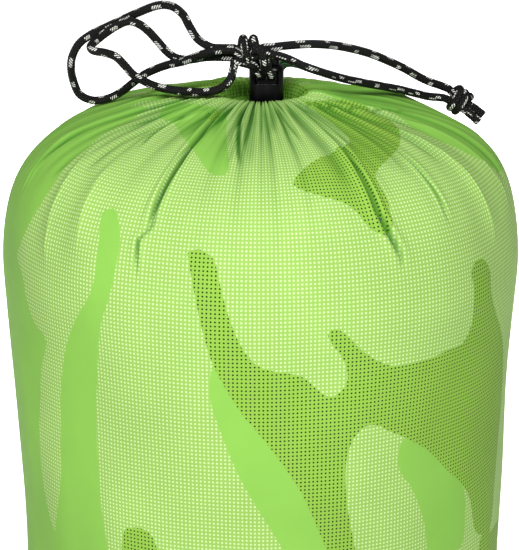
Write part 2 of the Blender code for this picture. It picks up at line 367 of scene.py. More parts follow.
@dataclass(frozen=True)
class CoatedCloth:
    """Nylon's coated reverse or plain-dyed nylon: even colour, fine crushed grain, a slight shine."""

    name: str
    colour: str
    roughness: float = 0.55
    grain: float = 160.0

    def build(self) -> bpy.types.Material:
        """Mottles the dye a little and gives it crushed grain.

        Returns:
            The material.
        """
        s = NodeSheet(self.name)
        place = s.add("ShaderNodeTexCoord", {}, "Object")
        mottle = s.add("ShaderNodeTexNoise", {"Vector": place, "Scale": 40.0, "Detail": 4.0})
        mottle = s.add("ShaderNodeMapRange", {"Value": mottle, "To Min": 0.75, "To Max": 1.2})
        colour = s.add("ShaderNodeVectorMath", {0: linear(self.colour)[:3], "Scale": mottle},
                       operation="SCALE")
        grain = s.add("ShaderNodeTexNoise", {"Vector": place, "Scale": self.grain, "Detail": 4.0})
        relief = s.add("ShaderNodeBump", {"Height": grain, "Strength": 0.4, "Distance": 0.6 * MM})
        return s.finish(Base_Color=colour, Roughness=self.roughness, Sheen_Weight=0.2, Normal=relief)


@dataclass(frozen=True)
class WovenTape:
    """Grosgrain binding tape: fine ribs, which catch the light in thin matt lines."""

    colour: str = "2c5a22"
    rib: float = 0.9 * MM

    def build(self) -> bpy.types.Material:
        """Rings of ribs round the sack's axis.

        Returns:
            The material.
        """
        s = NodeSheet("grosgrain_binding_tape")
        place = s.add("ShaderNodeTexCoord", {}, "Object")
        rings = s.add("ShaderNodeTexWave", {"Vector": place, "Scale": WAVE_LENGTH / self.rib,
                                            "Distortion": 0.2},
                      "Fac", wave_type="RINGS", rings_direction="Z")
        # Painted light: the colour is darker in the grooves between the ribs and lighter on their crests.
        shade = s.add("ShaderNodeMapRange", {"Value": rings, "To Min": 0.7, "To Max": 1.1})
        colour = s.add("ShaderNodeVectorMath", {0: linear(self.colour)[:3], "Scale": shade},
                       operation="SCALE")
        relief = s.add("ShaderNodeBump", {"Height": rings, "Strength": 0.6, "Distance": 0.2 * MM})
        return s.finish(Base_Color=colour, Roughness=0.8, Sheen_Weight=0.3, Normal=relief)


@dataclass(frozen=True)
class BraidedPolyester:
    """Braided polyester cord: black strands crossing in small diamonds, with short white fleck stitches."""

    girth: float = 12.6 * MM
    carriers: int = 8
    strand: str = "09080a"
    painted_gap_shade: str = "020202"
    fleck: str = "f0efea"
    fleck_lines: int = 4
    group_every: float = 13.0 * MM
    group_length: float = 4.8 * MM
    group_drift: float = 14.3 * MM
    line_shift: float = 5.59 * MM
    stitch_every: float = 1.3 * MM
    stitch_length: float = 0.676 * MM
    stitch_reach: float = 0.9 * MM
    stitch_lean: float = 0.8

    def build(self) -> bpy.types.Material:
        """Draws strands, their shadows and the white stitches along the cord's own map.

        Returns:
            The material.
        """
        s = NodeSheet("braided_polyester_cord")
        place = s.add("ShaderNodeUVMap", {}, uv_map=CORD_MAP)
        place = s.add("ShaderNodeSeparateXYZ", {0: place}).node.outputs
        around, along = place[0], place[1]
        strands = []
        for lean in (1, -1):
            turn = s.add("ShaderNodeMath", {0: along, 1: lean / self.girth, 2: around},
                         operation="MULTIPLY_ADD")
            turn = s.add("ShaderNodeMath", {0: turn, 1: self.carriers * math.pi}, operation="MULTIPLY")
            turn = s.add("ShaderNodeMath", {0: turn}, operation="SINE")
            strands.append(s.add("ShaderNodeMath", {0: turn}, operation="ABSOLUTE"))
        weave = s.add("ShaderNodeMath", {0: strands[0], 1: strands[1]}, operation="MULTIPLY")
        # Painted shade: the gaps between the strands are drawn darker than the strands.
        body = s.add("ShaderNodeMix", {"Factor": weave, 6: linear(self.painted_gap_shade), 7: linear(self.strand)},
                     2, data_type="RGBA")
        lines = s.add("ShaderNodeMath", {0: around, 1: float(self.fleck_lines)}, operation="MULTIPLY")
        line = s.add("ShaderNodeMath", {0: lines}, operation="FLOOR")
        side = s.add("ShaderNodeMath", {0: lines}, operation="FRACT")
        side = s.add("ShaderNodeMath", {0: side, 1: 0.5}, operation="SUBTRACT")
        side = s.add("ShaderNodeMath", {0: side, 1: self.girth / self.fleck_lines}, operation="MULTIPLY")
        reach = s.add("ShaderNodeMath", {0: line, 1: self.line_shift, 2: along}, operation="MULTIPLY_ADD")
        drift = s.add("ShaderNodeTexNoise", {"W": reach, "Scale": 1 / self.group_every},
                      noise_dimensions="1D")
        drift = s.add("ShaderNodeMath", {0: drift, 1: self.group_drift, 2: reach}, operation="MULTIPLY_ADD")
        group = s.add("ShaderNodeMath", {0: drift, 1: self.group_every}, operation="MODULO")
        group = s.add("ShaderNodeMath", {0: group, 1: self.group_length}, operation="LESS_THAN")
        stitch = s.add("ShaderNodeMath", {0: side, 1: self.stitch_lean, 2: reach}, operation="MULTIPLY_ADD")
        stitch = s.add("ShaderNodeMath", {0: stitch, 1: self.stitch_every}, operation="FLOORED_MODULO")
        stitch = s.add("ShaderNodeMath", {0: stitch, 1: self.stitch_length}, operation="LESS_THAN")
        width = s.add("ShaderNodeMath", {0: side}, operation="ABSOLUTE")
        width = s.add("ShaderNodeMath", {0: width, 1: self.stitch_reach}, operation="LESS_THAN")
        white = s.add("ShaderNodeMath", {0: group, 1: stitch}, operation="MULTIPLY")
        white = s.add("ShaderNodeMath", {0: white, 1: width}, operation="MULTIPLY")
        colour = s.add("ShaderNodeMix", {"Factor": white, 6: body, 7: linear(self.fleck)},
                       2, data_type="RGBA")
        relief = s.add("ShaderNodeMath", {0: white, 1: 0.3, 2: weave}, operation="MULTIPLY_ADD")
        relief = s.add("ShaderNodeBump", {"Height": relief, "Strength": 1.0, "Distance": 0.3 * MM})
        return s.finish(Base_Color=colour, Roughness=0.5, Specular_IOR_Level=0.26, Sheen_Weight=0.01,
                        Normal=relief)


@dataclass(frozen=True)
class MouldedAcetal:
    """Injection-moulded acetal, black: satin, with a trace of the mould's fine texture."""

    colour: str = "050506"

    def build(self) -> bpy.types.Material:
        """Fine spark-eroded grain and faint rub marks on a black satin.

        Returns:
            The material.
        """
        s = NodeSheet("moulded_black_acetal")
        place = s.add("ShaderNodeTexCoord", {}, "Object")
        grain = s.add("ShaderNodeTexNoise", {"Vector": place, "Scale": 2600.0, "Detail": 2.0})
        rub = s.add("ShaderNodeTexNoise", {"Vector": place, "Scale": 300.0, "Detail": 3.0})
        rough = s.add("ShaderNodeMapRange", {"Value": rub, "From Min": 0.35, "From Max": 0.65,
                                             "To Min": 0.24, "To Max": 0.34})
        relief = s.add("ShaderNodeBump", {"Height": grain, "Strength": 0.12, "Distance": 0.05 * MM})
        return s.finish(Base_Color=linear(self.colour), Roughness=rough, Specular_IOR_Level=0.28, IOR=1.48,
                        Normal=relief)


@dataclass(frozen=True)
class SpringSteel:
    """Drawn spring wire, zinc-bright: fine drawing lines along the coil."""

    colour: str = "b9babd"

    def build(self) -> bpy.types.Material:
        """Stretches a fine noise to break up the wire's gloss.

        Returns:
            The material.
        """
        s = NodeSheet("drawn_spring_steel")
        place = s.add("ShaderNodeTexCoord", {}, "Object")
        streak = s.add("ShaderNodeMapping", {"Vector": place, "Scale": (900.0, 900.0, 5000.0)})
        streak = s.add("ShaderNodeTexNoise", {"Vector": streak, "Scale": 1.0})
        rough = s.add("ShaderNodeMapRange", {"Value": streak, "To Min": 0.2, "To Max": 0.42})
        return s.finish(Base_Color=linear(self.colour), Metallic=1.0, Roughness=rough)


@dataclass(frozen=True)
class SpunThread:
    """Spun polyester sewing thread: matt, with a tight twist."""

    colour: str = "6fae34"

    def build(self) -> bpy.types.Material:
        """Diagonal twist as a fine wave.

        Returns:
            The material.
        """
        s = NodeSheet("spun_polyester_thread")
        place = s.add("ShaderNodeTexCoord", {}, "Object")
        twist = s.add("ShaderNodeTexWave", {"Vector": place, "Scale": 500.0, "Distortion": 1.0}, "Fac",
                      bands_direction="DIAGONAL")
        # Painted light: the colour is darker in the grooves of the twist and lighter on its ridges.
        shade = s.add("ShaderNodeMapRange", {"Value": twist, "To Min": 0.7, "To Max": 1.1})
        colour = s.add("ShaderNodeVectorMath", {0: linear(self.colour)[:3], "Scale": shade},
                       operation="SCALE")
        relief = s.add("ShaderNodeBump", {"Height": twist, "Strength": 0.5, "Distance": 0.08 * MM})
        return s.finish(Base_Color=colour, Roughness=0.7, Sheen_Weight=0.2, Normal=relief)


# ----------------------------------------------------------------------------------------------------- studio


@dataclass
class Studio:
    """Camera, pale floor and soft light."""

    stand: Point = (-0.0007, -0.97815, 0.20791)
    tilt: float = 73.06
    lens: float = 140.16
    film: float = 36.0
    floor_size: float = 9.0
    room_light: float = 0.15
    key_place: Point = (-0.05, -1.07, 1.13)
    key_size: float = 0.5
    key_power: float = 20.8
    key_aim: Point = (0, 0, 0.28)
    backdrop_place: Point = (0, 0.9, 1.2)
    backdrop_size: float = 1.2
    backdrop_power: float = 70.0
    backdrop_aim: Point = (0, 2.33, 0)
    floor_glow: float = 0.2

    def camera(self) -> None:
        """Puts the camera in front of the mouth and a little above it, and looks down at the sack."""
        data = bpy.data.cameras.new("camera")
        data.sensor_fit = "VERTICAL"
        data.sensor_height = self.film
        data.lens = self.lens
        data.clip_start = 0.05
        made = bpy.data.objects.new("camera", data)
        made.location = (self.stand[0], self.stand[1], CREST + self.stand[2])
        made.rotation_euler = (math.radians(self.tilt), 0, 0)
        bpy.context.scene.collection.objects.link(made)
        bpy.context.scene.camera = made

    def floor(self) -> None:
        """Lays a wide pale floor, a little lit from below as a light table is, so that it stays white."""
        s = NodeSheet("opal_light_table")
        place = s.add("ShaderNodeTexCoord", {}, "Object")
        tooth = s.add("ShaderNodeTexNoise", {"Vector": place, "Scale": 300.0})
        relief = s.add("ShaderNodeBump", {"Height": tooth, "Strength": 0.05, "Distance": 0.2 * MM})
        paper = s.finish(Base_Color=linear("fbfbfa"), Roughness=0.9, Normal=relief,
                         Emission_Color=linear("ffffff"), Emission_Strength=self.floor_glow)
        bm = bmesh.new()
        bmesh.ops.create_grid(bm, x_segments=1, y_segments=1, size=self.floor_size / 2)
        new_piece("studio_floor", bm, paper)

    def lamp(self, name: str, place: Point, size: float, power: float, aim: Point) -> None:
        """Adds a square soft light.

        Args:
            name: Its name.
            place: Where it hangs.
            size: Its side.
            power: Its power in watts.
            aim: The point that it faces.
        """
        data = bpy.data.lights.new(name, "AREA")
        data.size = size
        data.energy = power
        made = bpy.data.objects.new(name, data)
        made.location = place
        made.rotation_euler = (Vector(aim) - Vector(place)).to_track_quat("-Z", "Y").to_euler()
        bpy.context.scene.collection.objects.link(made)

    def light(self) -> None:
        """Lights the sack from a white room and a high front lamp, and the floor behind it from above."""
        world = bpy.data.worlds.new("white_room")
        world.use_nodes = True
        sky = world.node_tree.nodes["Background"]
        sky.inputs["Color"].default_value = linear("ffffff")
        sky.inputs["Strength"].default_value = self.room_light
        bpy.context.scene.world = world
        bpy.context.scene.view_settings.view_transform = "Standard"
        self.lamp("front_lamp", self.key_place, self.key_size, self.key_power, self.key_aim)
        self.lamp("backdrop_lamp", self.backdrop_place, self.backdrop_size, self.backdrop_power,
                  self.backdrop_aim)

    def build(self) -> None:
        """Sets up the whole studio."""
        self.camera()
        self.floor()
        self.light()


# ------------------------------------------------------------------------------------------------------- cord


@dataclass(frozen=True)
class Knot:
    """Where a knot sits and how its wraps go round its axis.

    The height is half that of the wraps, the rise is how far they stand above the centre.
    """

    centre: Point
    axis: Point
    height: float
    rise: float
    turns: float


@dataclass(frozen=True)
class Stretch:
    """One free stretch of the drawcord: its route, far end, lay, the pieces that go with it and its turn."""

    name: str
    route: Route
    far_end: str
    lay: str = "loose"
    pieces: tuple[str, ...] = ()
    turned: float = 0.0


@dataclass
class Drawcord:
    """The flecked drawcord: free loops and tails, its knots, cut ends, risers and the ring in the hem.

    Its routes and knots are in millimetres from the middle of the mouth's crest.
    """

    finish: bpy.types.Material
    diameter: float = 4.0 * MM
    sides: int = 32
    ring_every: float = 0.42 * MM
    carriers: int = 8
    strand_swell: float = 0.2 * MM
    end_taper: float = 0.12
    seal_swell: float = 0.12 * MM
    knot_radius: float = 4.35
    knot_length: float = 7.05
    tunnel_radius: float = 13.8
    tunnel_height: float = -9.8
    tunnel_gap: tuple[float, float] = (-48.6, 249.4)
    slip_knot: Knot = Knot((-5.7, -17.45, 20.5), (1, 0, 0), 5.7, 1.2, 1.5)
    end_knot: Knot = Knot((95.0, 34.0, -12.7), (0.8, 0, -0.6), 4.9, 0.3, 2.3)
    outer_loop: Route = (
        (-11.7, -15.2, 22.7), (-16.5, -14, 22.5), (-21.5, -11.5, 22), (-25.5, -8.5, 23), (-29.5, -5.5, 25.5),
        (-33, -2.5, 30.5), (-36, -0.5, 35.5), (-41, 1, 39), (-47.5, 3.5, 39), (-56, 6.5, 35.5),
        (-64, 9.5, 31.5), (-72, 11.5, 27.5), (-79, 12.5, 24), (-85, 13, 19.5), (-88.5, 14, 13.5),
        (-89.5, 15.5, 7), (-88.5, 18, -0.5), (-86, 20, -6.5), (-80, 21, -9.5), (-72.5, 18.5, -8),
        (-66, 14.5, -4), (-60, 9, 1.5), (-53.5, 4, 7), (-44, -2, 12), (-35.5, -7.5, 15), (-28, -13, 19),
        (-19.5, -17.5, 22), (-11.7, -19.7, 22.7),
    )
    inner_loop: Route = (
        (-11.7, -15.2, 18.3), (-18, -12.5, 18), (-25.5, -8, 17), (-33, -3.5, 15), (-39, 0, 15),
        (-43.5, 2, 17.5), (-47.5, 2.5, 22), (-52, 2.5, 27), (-56.5, 2.5, 30.5), (-61.5, 4, 31.5),
        (-67, 6, 29), (-72, 7.5, 25.5), (-76.5, 7.5, 22), (-79, 3.5, 20), (-77.5, -1, 18.7),
        (-72, -3.5, 18.2), (-67, -4.2, 16.5), (-63, -4.2, 12.5), (-59, -4, 8), (-53, -4.5, 4.5),
        (-46.5, -6.5, 2.5), (-39.5, -10, 1.9), (-32.5, -14, 2.1), (-25, -17.5, 2.7), (-18.5, -19.5, 4.8),
        (-14.2, -20.5, 9), (-12.6, -20.3, 14), (-11.9, -19.7, 18.1),
    )
    upper_tail: Route = (
        (0.3, -15, 22.8), (6.5, -14, 23), (13, -12, 23.3), (22.5, -8.5, 23.2), (32, -3.5, 21.8),
        (41, 2, 19.3), (51, 8, 15.5), (59.5, 14, 11), (68, 20, 6), (75.5, 25.5, 0.8), (81, 29.5, -2.4),
        (86.5, 32.8, -4.9), (91.4, 34.8, -7.3),
    )
    lower_tail: Route = (
        (0.3, -19.8, 21.2), (6.5, -19, 20.3), (12.5, -17.5, 18), (19, -15, 14.5), (27, -11.5, 11),
        (36.5, -6, 7), (46, 1, 3.5), (56, 9, 0), (66, 17, -3.5), (74.5, 24, -7), (80, 28.5, -9.2),
        (84.6, 31.2, -10.2), (88.8, 33, -11),
    )
    riser_path: tuple[tuple[float, float], ...] = (
        (-11.9, -9.4), (-6, -9.4), (-0.5, -8.6), (4.2, -5.4), (6.3, -0.2), (4.4, 5.2), (-0.5, 8.6),
        (-5, 9.2), (-12.5, 9.2),
    )
    left_riser_top: Route = ((-0.6, -15.6, 10.3), (-1.9, -17.4, 12.2), (-2.6, -17.9, 13.6))
    right_riser_top: Route = ((4.1, -16, 10.8), (3, -17.8, 13.8), (2.2, -18.2, 17.2))
    riser_x: tuple[float, float] = (0.3, 4.7)
    upper_stub: Route = ((101.2, 36, -15.2), (104.2, 35.5, -17.2), (107.6, 34.6, -19.9))
    lower_stub: Route = ((98.9, 31.6, -17.2), (102, 31.4, -19.6), (105, 31, -22.4))
    slip_knot_strands: tuple[Route, ...] = (
        ((-12.4, -15.2, 22.7), (-9, -16.5, 21.6), (-5.7, -16.2, 20.9), (-2, -16.3, 21.6), (0.9, -15, 22.8)),
        ((-12.4, -19.7, 22.5), (-9, -19.6, 20.4), (-5.5, -18.8, 19), (-2, -19.2, 19.8), (0.9, -19.8, 21.2)),
        ((-12.4, -15.2, 18.3), (-9, -15.9, 18.2), (-5, -17.4, 19), (-1, -18.9, 19.6), (1.5, -19.2, 18.6),
         (2.6, -18.4, 16.4), (3.1, -17.6, 13.4)),
        ((-12, -19.7, 18.4), (-9.6, -20.4, 17.2), (-6.4, -20.7, 16.4), (-3.8, -19.6, 15.2),
         (-2.3, -17.8, 13.2)),
        ((-6.4, -17.8, 25.6), (-3.4, -20.2, 25.2), (-0.4, -21.6, 22.6), (1.2, -21.4, 18.8),
         (1.6, -19.4, 14.8), (1.8, -16.4, 11.4)),
    )
    end_knot_strands: tuple[Route, ...] = (
        ((90.6, 34.5, -7), (93.6, 35.6, -10), (96.6, 35.4, -12.4), (101.6, 36, -15.4)),
        ((88.2, 33, -10.8), (91.6, 31.8, -12.4), (95, 31.6, -14.4), (99.4, 31.6, -17.4)),
    )
    pieces: dict[str, bpy.types.Object] = field(default_factory=dict)

    def place(self, route: Route) -> Array:
        """Turns route points in millimetres from the mouth's centre into points of the frame."""
        return np.array(route, float) * MM + np.array((0, 0, CREST))

    def wraps(self, knot: Knot) -> list[Point]:
        """Points of the cord wound round a knot's axis, its two lobes side by side on top.

        Args:
            knot: The knot.

        Returns:
            Points in millimetres from the mouth's centre.
        """
        centre, axis = Vector(knot.centre), Vector(knot.axis).normalized()
        across = Vector((0, 1, 0))
        over = axis.cross(across)
        points = []
        for turn in np.linspace(0, knot.turns, round(15 * knot.turns)):
            lean = self.knot_length / knot.turns * (turn - knot.turns / 2)
            angle = turn * math.tau
            reach = across * math.cos(angle) * self.knot_radius
            reach += over * (math.sin(angle) * knot.height + knot.rise)
            points.append(tuple(centre + axis * lean + reach))
        return points

    def tube(self, route: Route, turned: float, sealed: float) -> bmesh.types.BMesh:
        """Builds one closed tube with the relief of its crossing strands.

        Args:
            route: Its line, in millimetres from the mouth's centre.
            turned: How far the braid is turned round its line, in turns.
            sealed: How much the far end swells where it was cut and melted.

        Returns:
            The tube.
        """
        line = smooth_line(self.place(route), self.ring_every)
        along = np.r_[0, np.cumsum(np.linalg.norm(np.diff(line, axis=0), axis=1))]
        heading = np.gradient(line, axis=0)
        heading /= np.linalg.norm(heading, axis=1)[:, None]
        aside = np.empty_like(line)
        aside[0] = np.cross(heading[0], (0.0, 0.0, 1.0) if abs(heading[0][2]) < 0.9 else (1.0, 0.0, 0.0))
        aside[0] /= np.linalg.norm(aside[0])
        for i in range(1, len(line)):
            aside[i] = aside[i - 1] - heading[i] * (aside[i - 1] @ heading[i])
            aside[i] /= np.linalg.norm(aside[i])
        upward = np.cross(heading, aside)
        girth = math.pi * self.diameter
        last = len(line) - 1

        def shape(around: Array, step: Array) -> Array:
            """Places points of the tube.

            Args:
                around: Their turn round the cord.
                step: Their step along it.

            Returns:
                One row for each point.
            """
            i = step.astype(int)
            swell = 1.0
            for lean in (1, -1):
                turn = around + turned + lean * along[i] / girth
                swell = swell * np.abs(np.sin(turn * self.carriers * math.pi))
            radius = self.diameter / 2 - self.strand_swell * (1 - swell) + 0.04 * MM
            radius = radius * (1 - self.end_taper * smooth_step(3, 0, i))
            radius = radius * (1 - self.end_taper * smooth_step(last - 3, last, i))
            radius = radius + sealed * smooth_step(last - 5, last - 2, i)
            angle = around * math.tau
            reach = aside[i] * np.cos(angle)[:, None] + upward[i] * np.sin(angle)[:, None]
            return line[i] + reach * radius[:, None]

        bm = bent_grid(np.linspace(0, 1, self.sides + 1), np.arange(last + 1, dtype=float), shape,
                       lambda a, b: np.stack([a + turned, along[b.astype(int)]], axis=1), CORD_MAP)
        bmesh.ops.remove_doubles(bm, verts=bm.verts, dist=0.01 * MM)
        rims = [e for e in bm.edges if e.is_boundary]
        bmesh.ops.holes_fill(bm, edges=rims, sides=0)
        bmesh.ops.recalc_face_normals(bm, faces=bm.faces)
        return bm

    def braid(
        self, name: str, *routes: Route, turned: float = 0.0, sealed: float = 0.0
    ) -> bpy.types.Object:
        """Makes a piece of one or more strands.

        Args:
            name: The CAD node it stands for.
            routes: The line of each strand.
            turned: How far the braid is turned round its line, in turns.
            sealed: How much the far end swells where it was cut and melted.

        Returns:
            The piece, riding on the sack.
        """
        whole = bmesh.new()
        for number, route in enumerate(routes):
            strand = bpy.data.meshes.new("strand")
            bm = self.tube(route, turned + 0.37 * number, sealed)
            bm.to_mesh(strand)
            bm.free()
            whole.from_mesh(strand)
            bpy.data.meshes.remove(strand)
        self.pieces[name] = fitted(new_piece(name + "_braid", whole, self.finish, 60), name)
        return self.pieces[name]

    def build(self) -> None:
        self.braid("slip_knot", self.wraps(self.slip_knot), *self.slip_knot_strands, turned=0.1)
        self.braid("end_knot", self.wraps(self.end_knot), *self.end_knot_strands, turned=0.3)
        self.braid("cord_end_upper", self.upper_stub, turned=0.2, sealed=self.seal_swell)
        self.braid("cord_end_lower", self.lower_stub, turned=0.6, sealed=self.seal_swell)
        ring = []
        for angle in np.radians(np.linspace(*self.tunnel_gap, 60)):
            ring.append((self.tunnel_radius * math.cos(angle), self.tunnel_radius * math.sin(angle),
                         self.tunnel_height))
        self.braid("drawcord_ring", ring)
        risers = {}
        for name, x, top in (("cord_riser_left", self.riser_x[0], self.left_riser_top),
                             ("cord_riser_right", self.riser_x[1], self.right_riser_top)):
            risers[name] = [(x, y, z) for y, z in self.riser_path] + list(top)
        stretches = (
            Stretch("cord_loop_outer", self.outer_loop, "knot", pieces=("slip_knot",), turned=0.12),
            Stretch("cord_loop_inner", self.inner_loop, "knot", turned=0.4),
            Stretch("cord_tail_upper", self.upper_tail, "knot", turned=0.05,
                    pieces=("end_knot", "cord_end_upper", "cord_end_lower")),
            Stretch("cord_tail_lower", self.lower_tail, "knot", turned=0.65),
            Stretch("cord_riser_left", risers["cord_riser_left"], "knot", "taut", turned=0.3),
            Stretch("cord_riser_right", risers["cord_riser_right"], "knot", "taut", turned=0.8),
        )
        for s in stretches:
            made = self.braid(s.name, s.route, turned=s.turned)
            line = smooth_line(self.place(s.route), 2.0 * MM)


# ------------------------------------------------------------------------------------------------- sack cloth


@dataclass(frozen=True)
class Crease:
    """A fold pressed into the cloth: its (azimuth, millimetres along) line, its depth and half width."""

    line: tuple[tuple[float, float], ...]
    depth: float
    width: float


@dataclass(frozen=True)
class Bump:
    """A soft rise of the cloth at an azimuth and a distance along, with its height and reach."""

    azimuth: float
    along: float
    height: float
    reach: float


@dataclass
class SackForm:
    """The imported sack's outer surface: a turned form with pleats, creases, bumps and slow waves on it.

    Its profile, pleats and creases are in millimetres. What `at` and `shade` take and give is in metres and
    degrees; the other methods say what they take.
    """

    profile: tuple[tuple[float, float], ...] = (
        (18.3, -12), (18.4, -5), (19.5, -1.8), (22.5, -0.2), (27, 0), (35, -1.3), (45, -3.6), (62, -7.5),
        (80, -12.5), (95, -19.5), (107, -29), (115, -41), (119.5, -56), (121.5, -76), (120.5, -100),
        (117.8, -150), (116, -210), (115.2, -290), (114.8, -378), (113.4, -390.5), (109.7, -397.3),
        (105.6, -399.3),
    )
    crest_radius: float = 24.0
    cut_width: float = 740.0
    pleats: int = 104
    tucks: int = 58
    folds: int = 17
    pleat_depth: float = 1.6
    tuck_depth: float = 1.5
    fold_depth: float = 1.5
    fold_reach: float = 62.0
    creases: tuple[Crease, ...] = (
        Crease(((-28, 7), (-26.5, 22), (-25, 40), (-24, 65), (-24.5, 82), (-25, 97)), 3.4, 0.7),
        Crease(((-24, 98), (-27, 106), (-26.5, 118)), 1.6, 0.7),
        Crease(((-40, 10), (-42, 22), (-46, 36), (-43, 54)), 2.4, 0.75),
        Crease(((-13, 4), (-12, 21), (-8.5, 43), (-6.5, 60)), 2.2, 0.65),
        Crease(((29, 8), (28.5, 29), (28, 51), (27, 72), (27, 93), (28.5, 104), (30.5, 114)), 3.2, 0.7),
        Crease(((46, 66), (45, 100)), 1.6, 0.8),
        Crease(((-77, 62), (-73, 98)), 1.8, 0.9),
        Crease(((35, 7), (48, 13), (66, 26), (86, 43)), 1.5, 0.8),
        Crease(((12, 3), (13, 18), (15, 40)), 1.5, 0.7),
        Crease(((-56, 5), (-58, 26), (-60, 50)), 1.4, 0.8),
        Crease(((-58, 62), (-54, 90), (-52, 124)), -1.3, 3.2),
        Crease(((-44, 74), (-42, 112)), -0.9, 2.8),
        Crease(((58, 40), (61, 80), (62, 118)), -1.2, 3.0),
        Crease(((72, 48), (76, 110)), -1.1, 3.0),
    )
    bumps: tuple[Bump, ...] = (
        Bump(113, 40, 3.2, 15), Bump(-148, 5, 2.0, 8), Bump(146, 5, 1.5, 8), Bump(-95, 30, 1.6, 14),
        Bump(170, 60, 2.0, 22), Bump(-140, 75, 2.2, 26), Bump(100, 150, 1.4, 34), Bump(-60, 210, 1.3, 40),
        Bump(20, 250, 1.2, 42), Bump(-170, 260, 1.6, 45), Bump(70, 330, 1.2, 40), Bump(-20, 380, 1.2, 40),
    )
    seed: int = 7
    small_creases: int = 30

    def __post_init__(self) -> None:
        """Works out the smooth profile and lays small creases all round, fewer and softer in front."""
        fine = smooth_line(self.profile, 0.4)
        along = np.r_[0, np.cumsum(np.linalg.norm(np.diff(fine, axis=0), axis=1))]
        start = along[np.argmin(np.hypot(fine[:, 0] - self.crest_radius, fine[:, 1]))]
        self.fine, self.marks = fine, along - start
        lean = np.gradient(fine, along, axis=0)
        self.out = np.stack([-lean[:, 1], lean[:, 0]], axis=1)
        rng = np.random.default_rng(self.seed)
        extra = []
        for azimuth in np.linspace(-180, 180, self.small_creases, endpoint=False):
            azimuth = azimuth + rng.uniform(-4, 4)
            first, length = rng.uniform(3, 14), rng.uniform(24, 74)
            sway, depth = rng.uniform(-4, 4), rng.uniform(0.35, 1.1)
            if abs(azimuth) > 58:
                depth, length = depth * 1.5, length * 1.3
            line = ((azimuth, first), (azimuth + sway, first + length))
            extra.append(Crease(line, depth, rng.uniform(1.0, 1.9)))
        self.all_creases = self.creases + tuple(extra)

    @property
    def first(self) -> float:
        """Distance along at the inner edge of the mouth, below zero, in metres."""
        return float(self.marks[0]) * MM

    @property
    def last(self) -> float:
        """Distance along at the base seam, in metres."""
        return float(self.marks[-1]) * MM

    def gathers(self, angle: Array, along: Array) -> Array:
        """Works out the gathered pleats, which are sharp at their roots and die out down the dome.

        Fine pleats lie on top of wider tucks, and both on top of a few long folds. Slow waves round the mouth
        vary their spacing, depth and reach, as a drawn cord does.

        Args:
            angle: Radians from the front.
            along: Millimetres from the crest.

        Returns:
            The cloth's height in millimetres, below zero in a pleat.
        """
        outside = np.clip(along, 0, None)
        inside = 1 + 0.35 * smooth_step(-1, -6, along)
        wobble = 0.9 * np.sin(3 * angle + 1) + 0.7 * np.sin(7 * angle + 2.2) + 0.5 * np.sin(11 * angle + 0.4)
        root = 1 - np.abs(np.cos(self.pleats / 2 * angle + wobble))
        strength = 0.8 + 0.34 * np.sin(5 * angle + 0.7) + 0.28 * np.sin(13 * angle + 2)
        reach = 30 + 12 * np.sin(9 * angle + 1.3) + 9 * np.sin(4 * angle + 0.2)
        fade = np.exp(-((outside / reach) ** 1.2))
        height = -self.pleat_depth * root**1.5 * strength * fade * inside
        tuck = (1 - np.abs(np.cos(self.tucks / 2 * angle + 1.6 * np.sin(4 * angle + 2)))) ** 1.3
        strength = 1 - 0.4 * np.sin(6 * angle)
        reach = 27 + 11 * np.sin(7 * angle + 2.4)
        height -= self.tuck_depth * tuck * strength * np.exp(-((outside / reach) ** 1.3)) * inside
        sway = 1.1 * np.sin(2 * angle + 0.5) + 0.6 * np.sin(5 * angle)
        root = (1 - np.abs(np.cos(self.folds * angle + sway))) ** 1.5
        fade = smooth_step(2, 16, along) * np.exp(-((outside / self.fold_reach) ** 2))
        return height - self.fold_depth * root * fade

    def crease_depth(self, azimuth: Array, along: Array, radius: Array) -> tuple[Array, Array]:
        """Sums the pressed folds, each a groove between two soft lips.

        Args:
            azimuth: Degrees from the front.
            along: Millimetres from the crest.
            radius: Millimetres from the axis.

        Returns:
            The cloth's height, and how deep in a fold's root each point lies, from 0 to 1.
        """
        total, root = np.zeros_like(azimuth), np.zeros_like(azimuth)
        for crease in self.all_creases:
            turns, marks = np.array(crease.line).T
            near = (along > marks[0] - 12) & (along < marks[-1] + 14)
            near &= np.abs((azimuth - turns.mean() + 180) % 360 - 180) < np.ptp(turns) / 2 + 35
            where = np.interp(along[near], marks, turns)
            slope = np.gradient(turns, marks)
            lean = np.radians(np.interp(along[near], marks, slope)) * radius[near]
            turned = np.radians((azimuth[near] - where + 180) % 360 - 180)
            aside = turned * radius[near] / np.sqrt(1 + lean**2)
            grows = 1 + np.clip(along[near] - marks[0], 0, None) / 180
            aside = np.abs(aside) / (crease.width * grows)
            ends = smooth_step(marks[0] - 6, marks[0] + 10, along[near])
            ends = ends * smooth_step(marks[-1] + 7, marks[-1] - 9, along[near])
            groove = -np.exp(-1.3 * aside) + 0.34 * np.exp(-(((aside - 2.6) / 1.5) ** 2))
            total[near] += crease.depth * groove * ends
            root[near] += np.clip(crease.depth / 2.0, 0, 1) * np.exp(-(aside**2) * 0.9) * ends
        return total, np.clip(root, 0, 1)

    def shade(self, azimuth: Array, along: Array) -> Array:
        """Works out how little light reaches points of the cloth, deep in folds and down the mouth.

        Args:
            azimuth: Degrees from the front.
            along: Distance from the crest, in metres.

        Returns:
            Values from 0, in the open, to 1.
        """
        along = along / MM
        radius = np.interp(along, self.marks, self.fine[:, 0])
        pleat = np.clip(-self.gathers(np.radians(azimuth), along) / 1.55, 0, 1) ** 1.3
        deep = 0.42 * smooth_step(3, -7, along)
        fold = 0.92 * self.crease_depth(azimuth, along, radius)[1]
        return 1 - (1 - 0.85 * pleat) * (1 - deep) * (1 - fold)

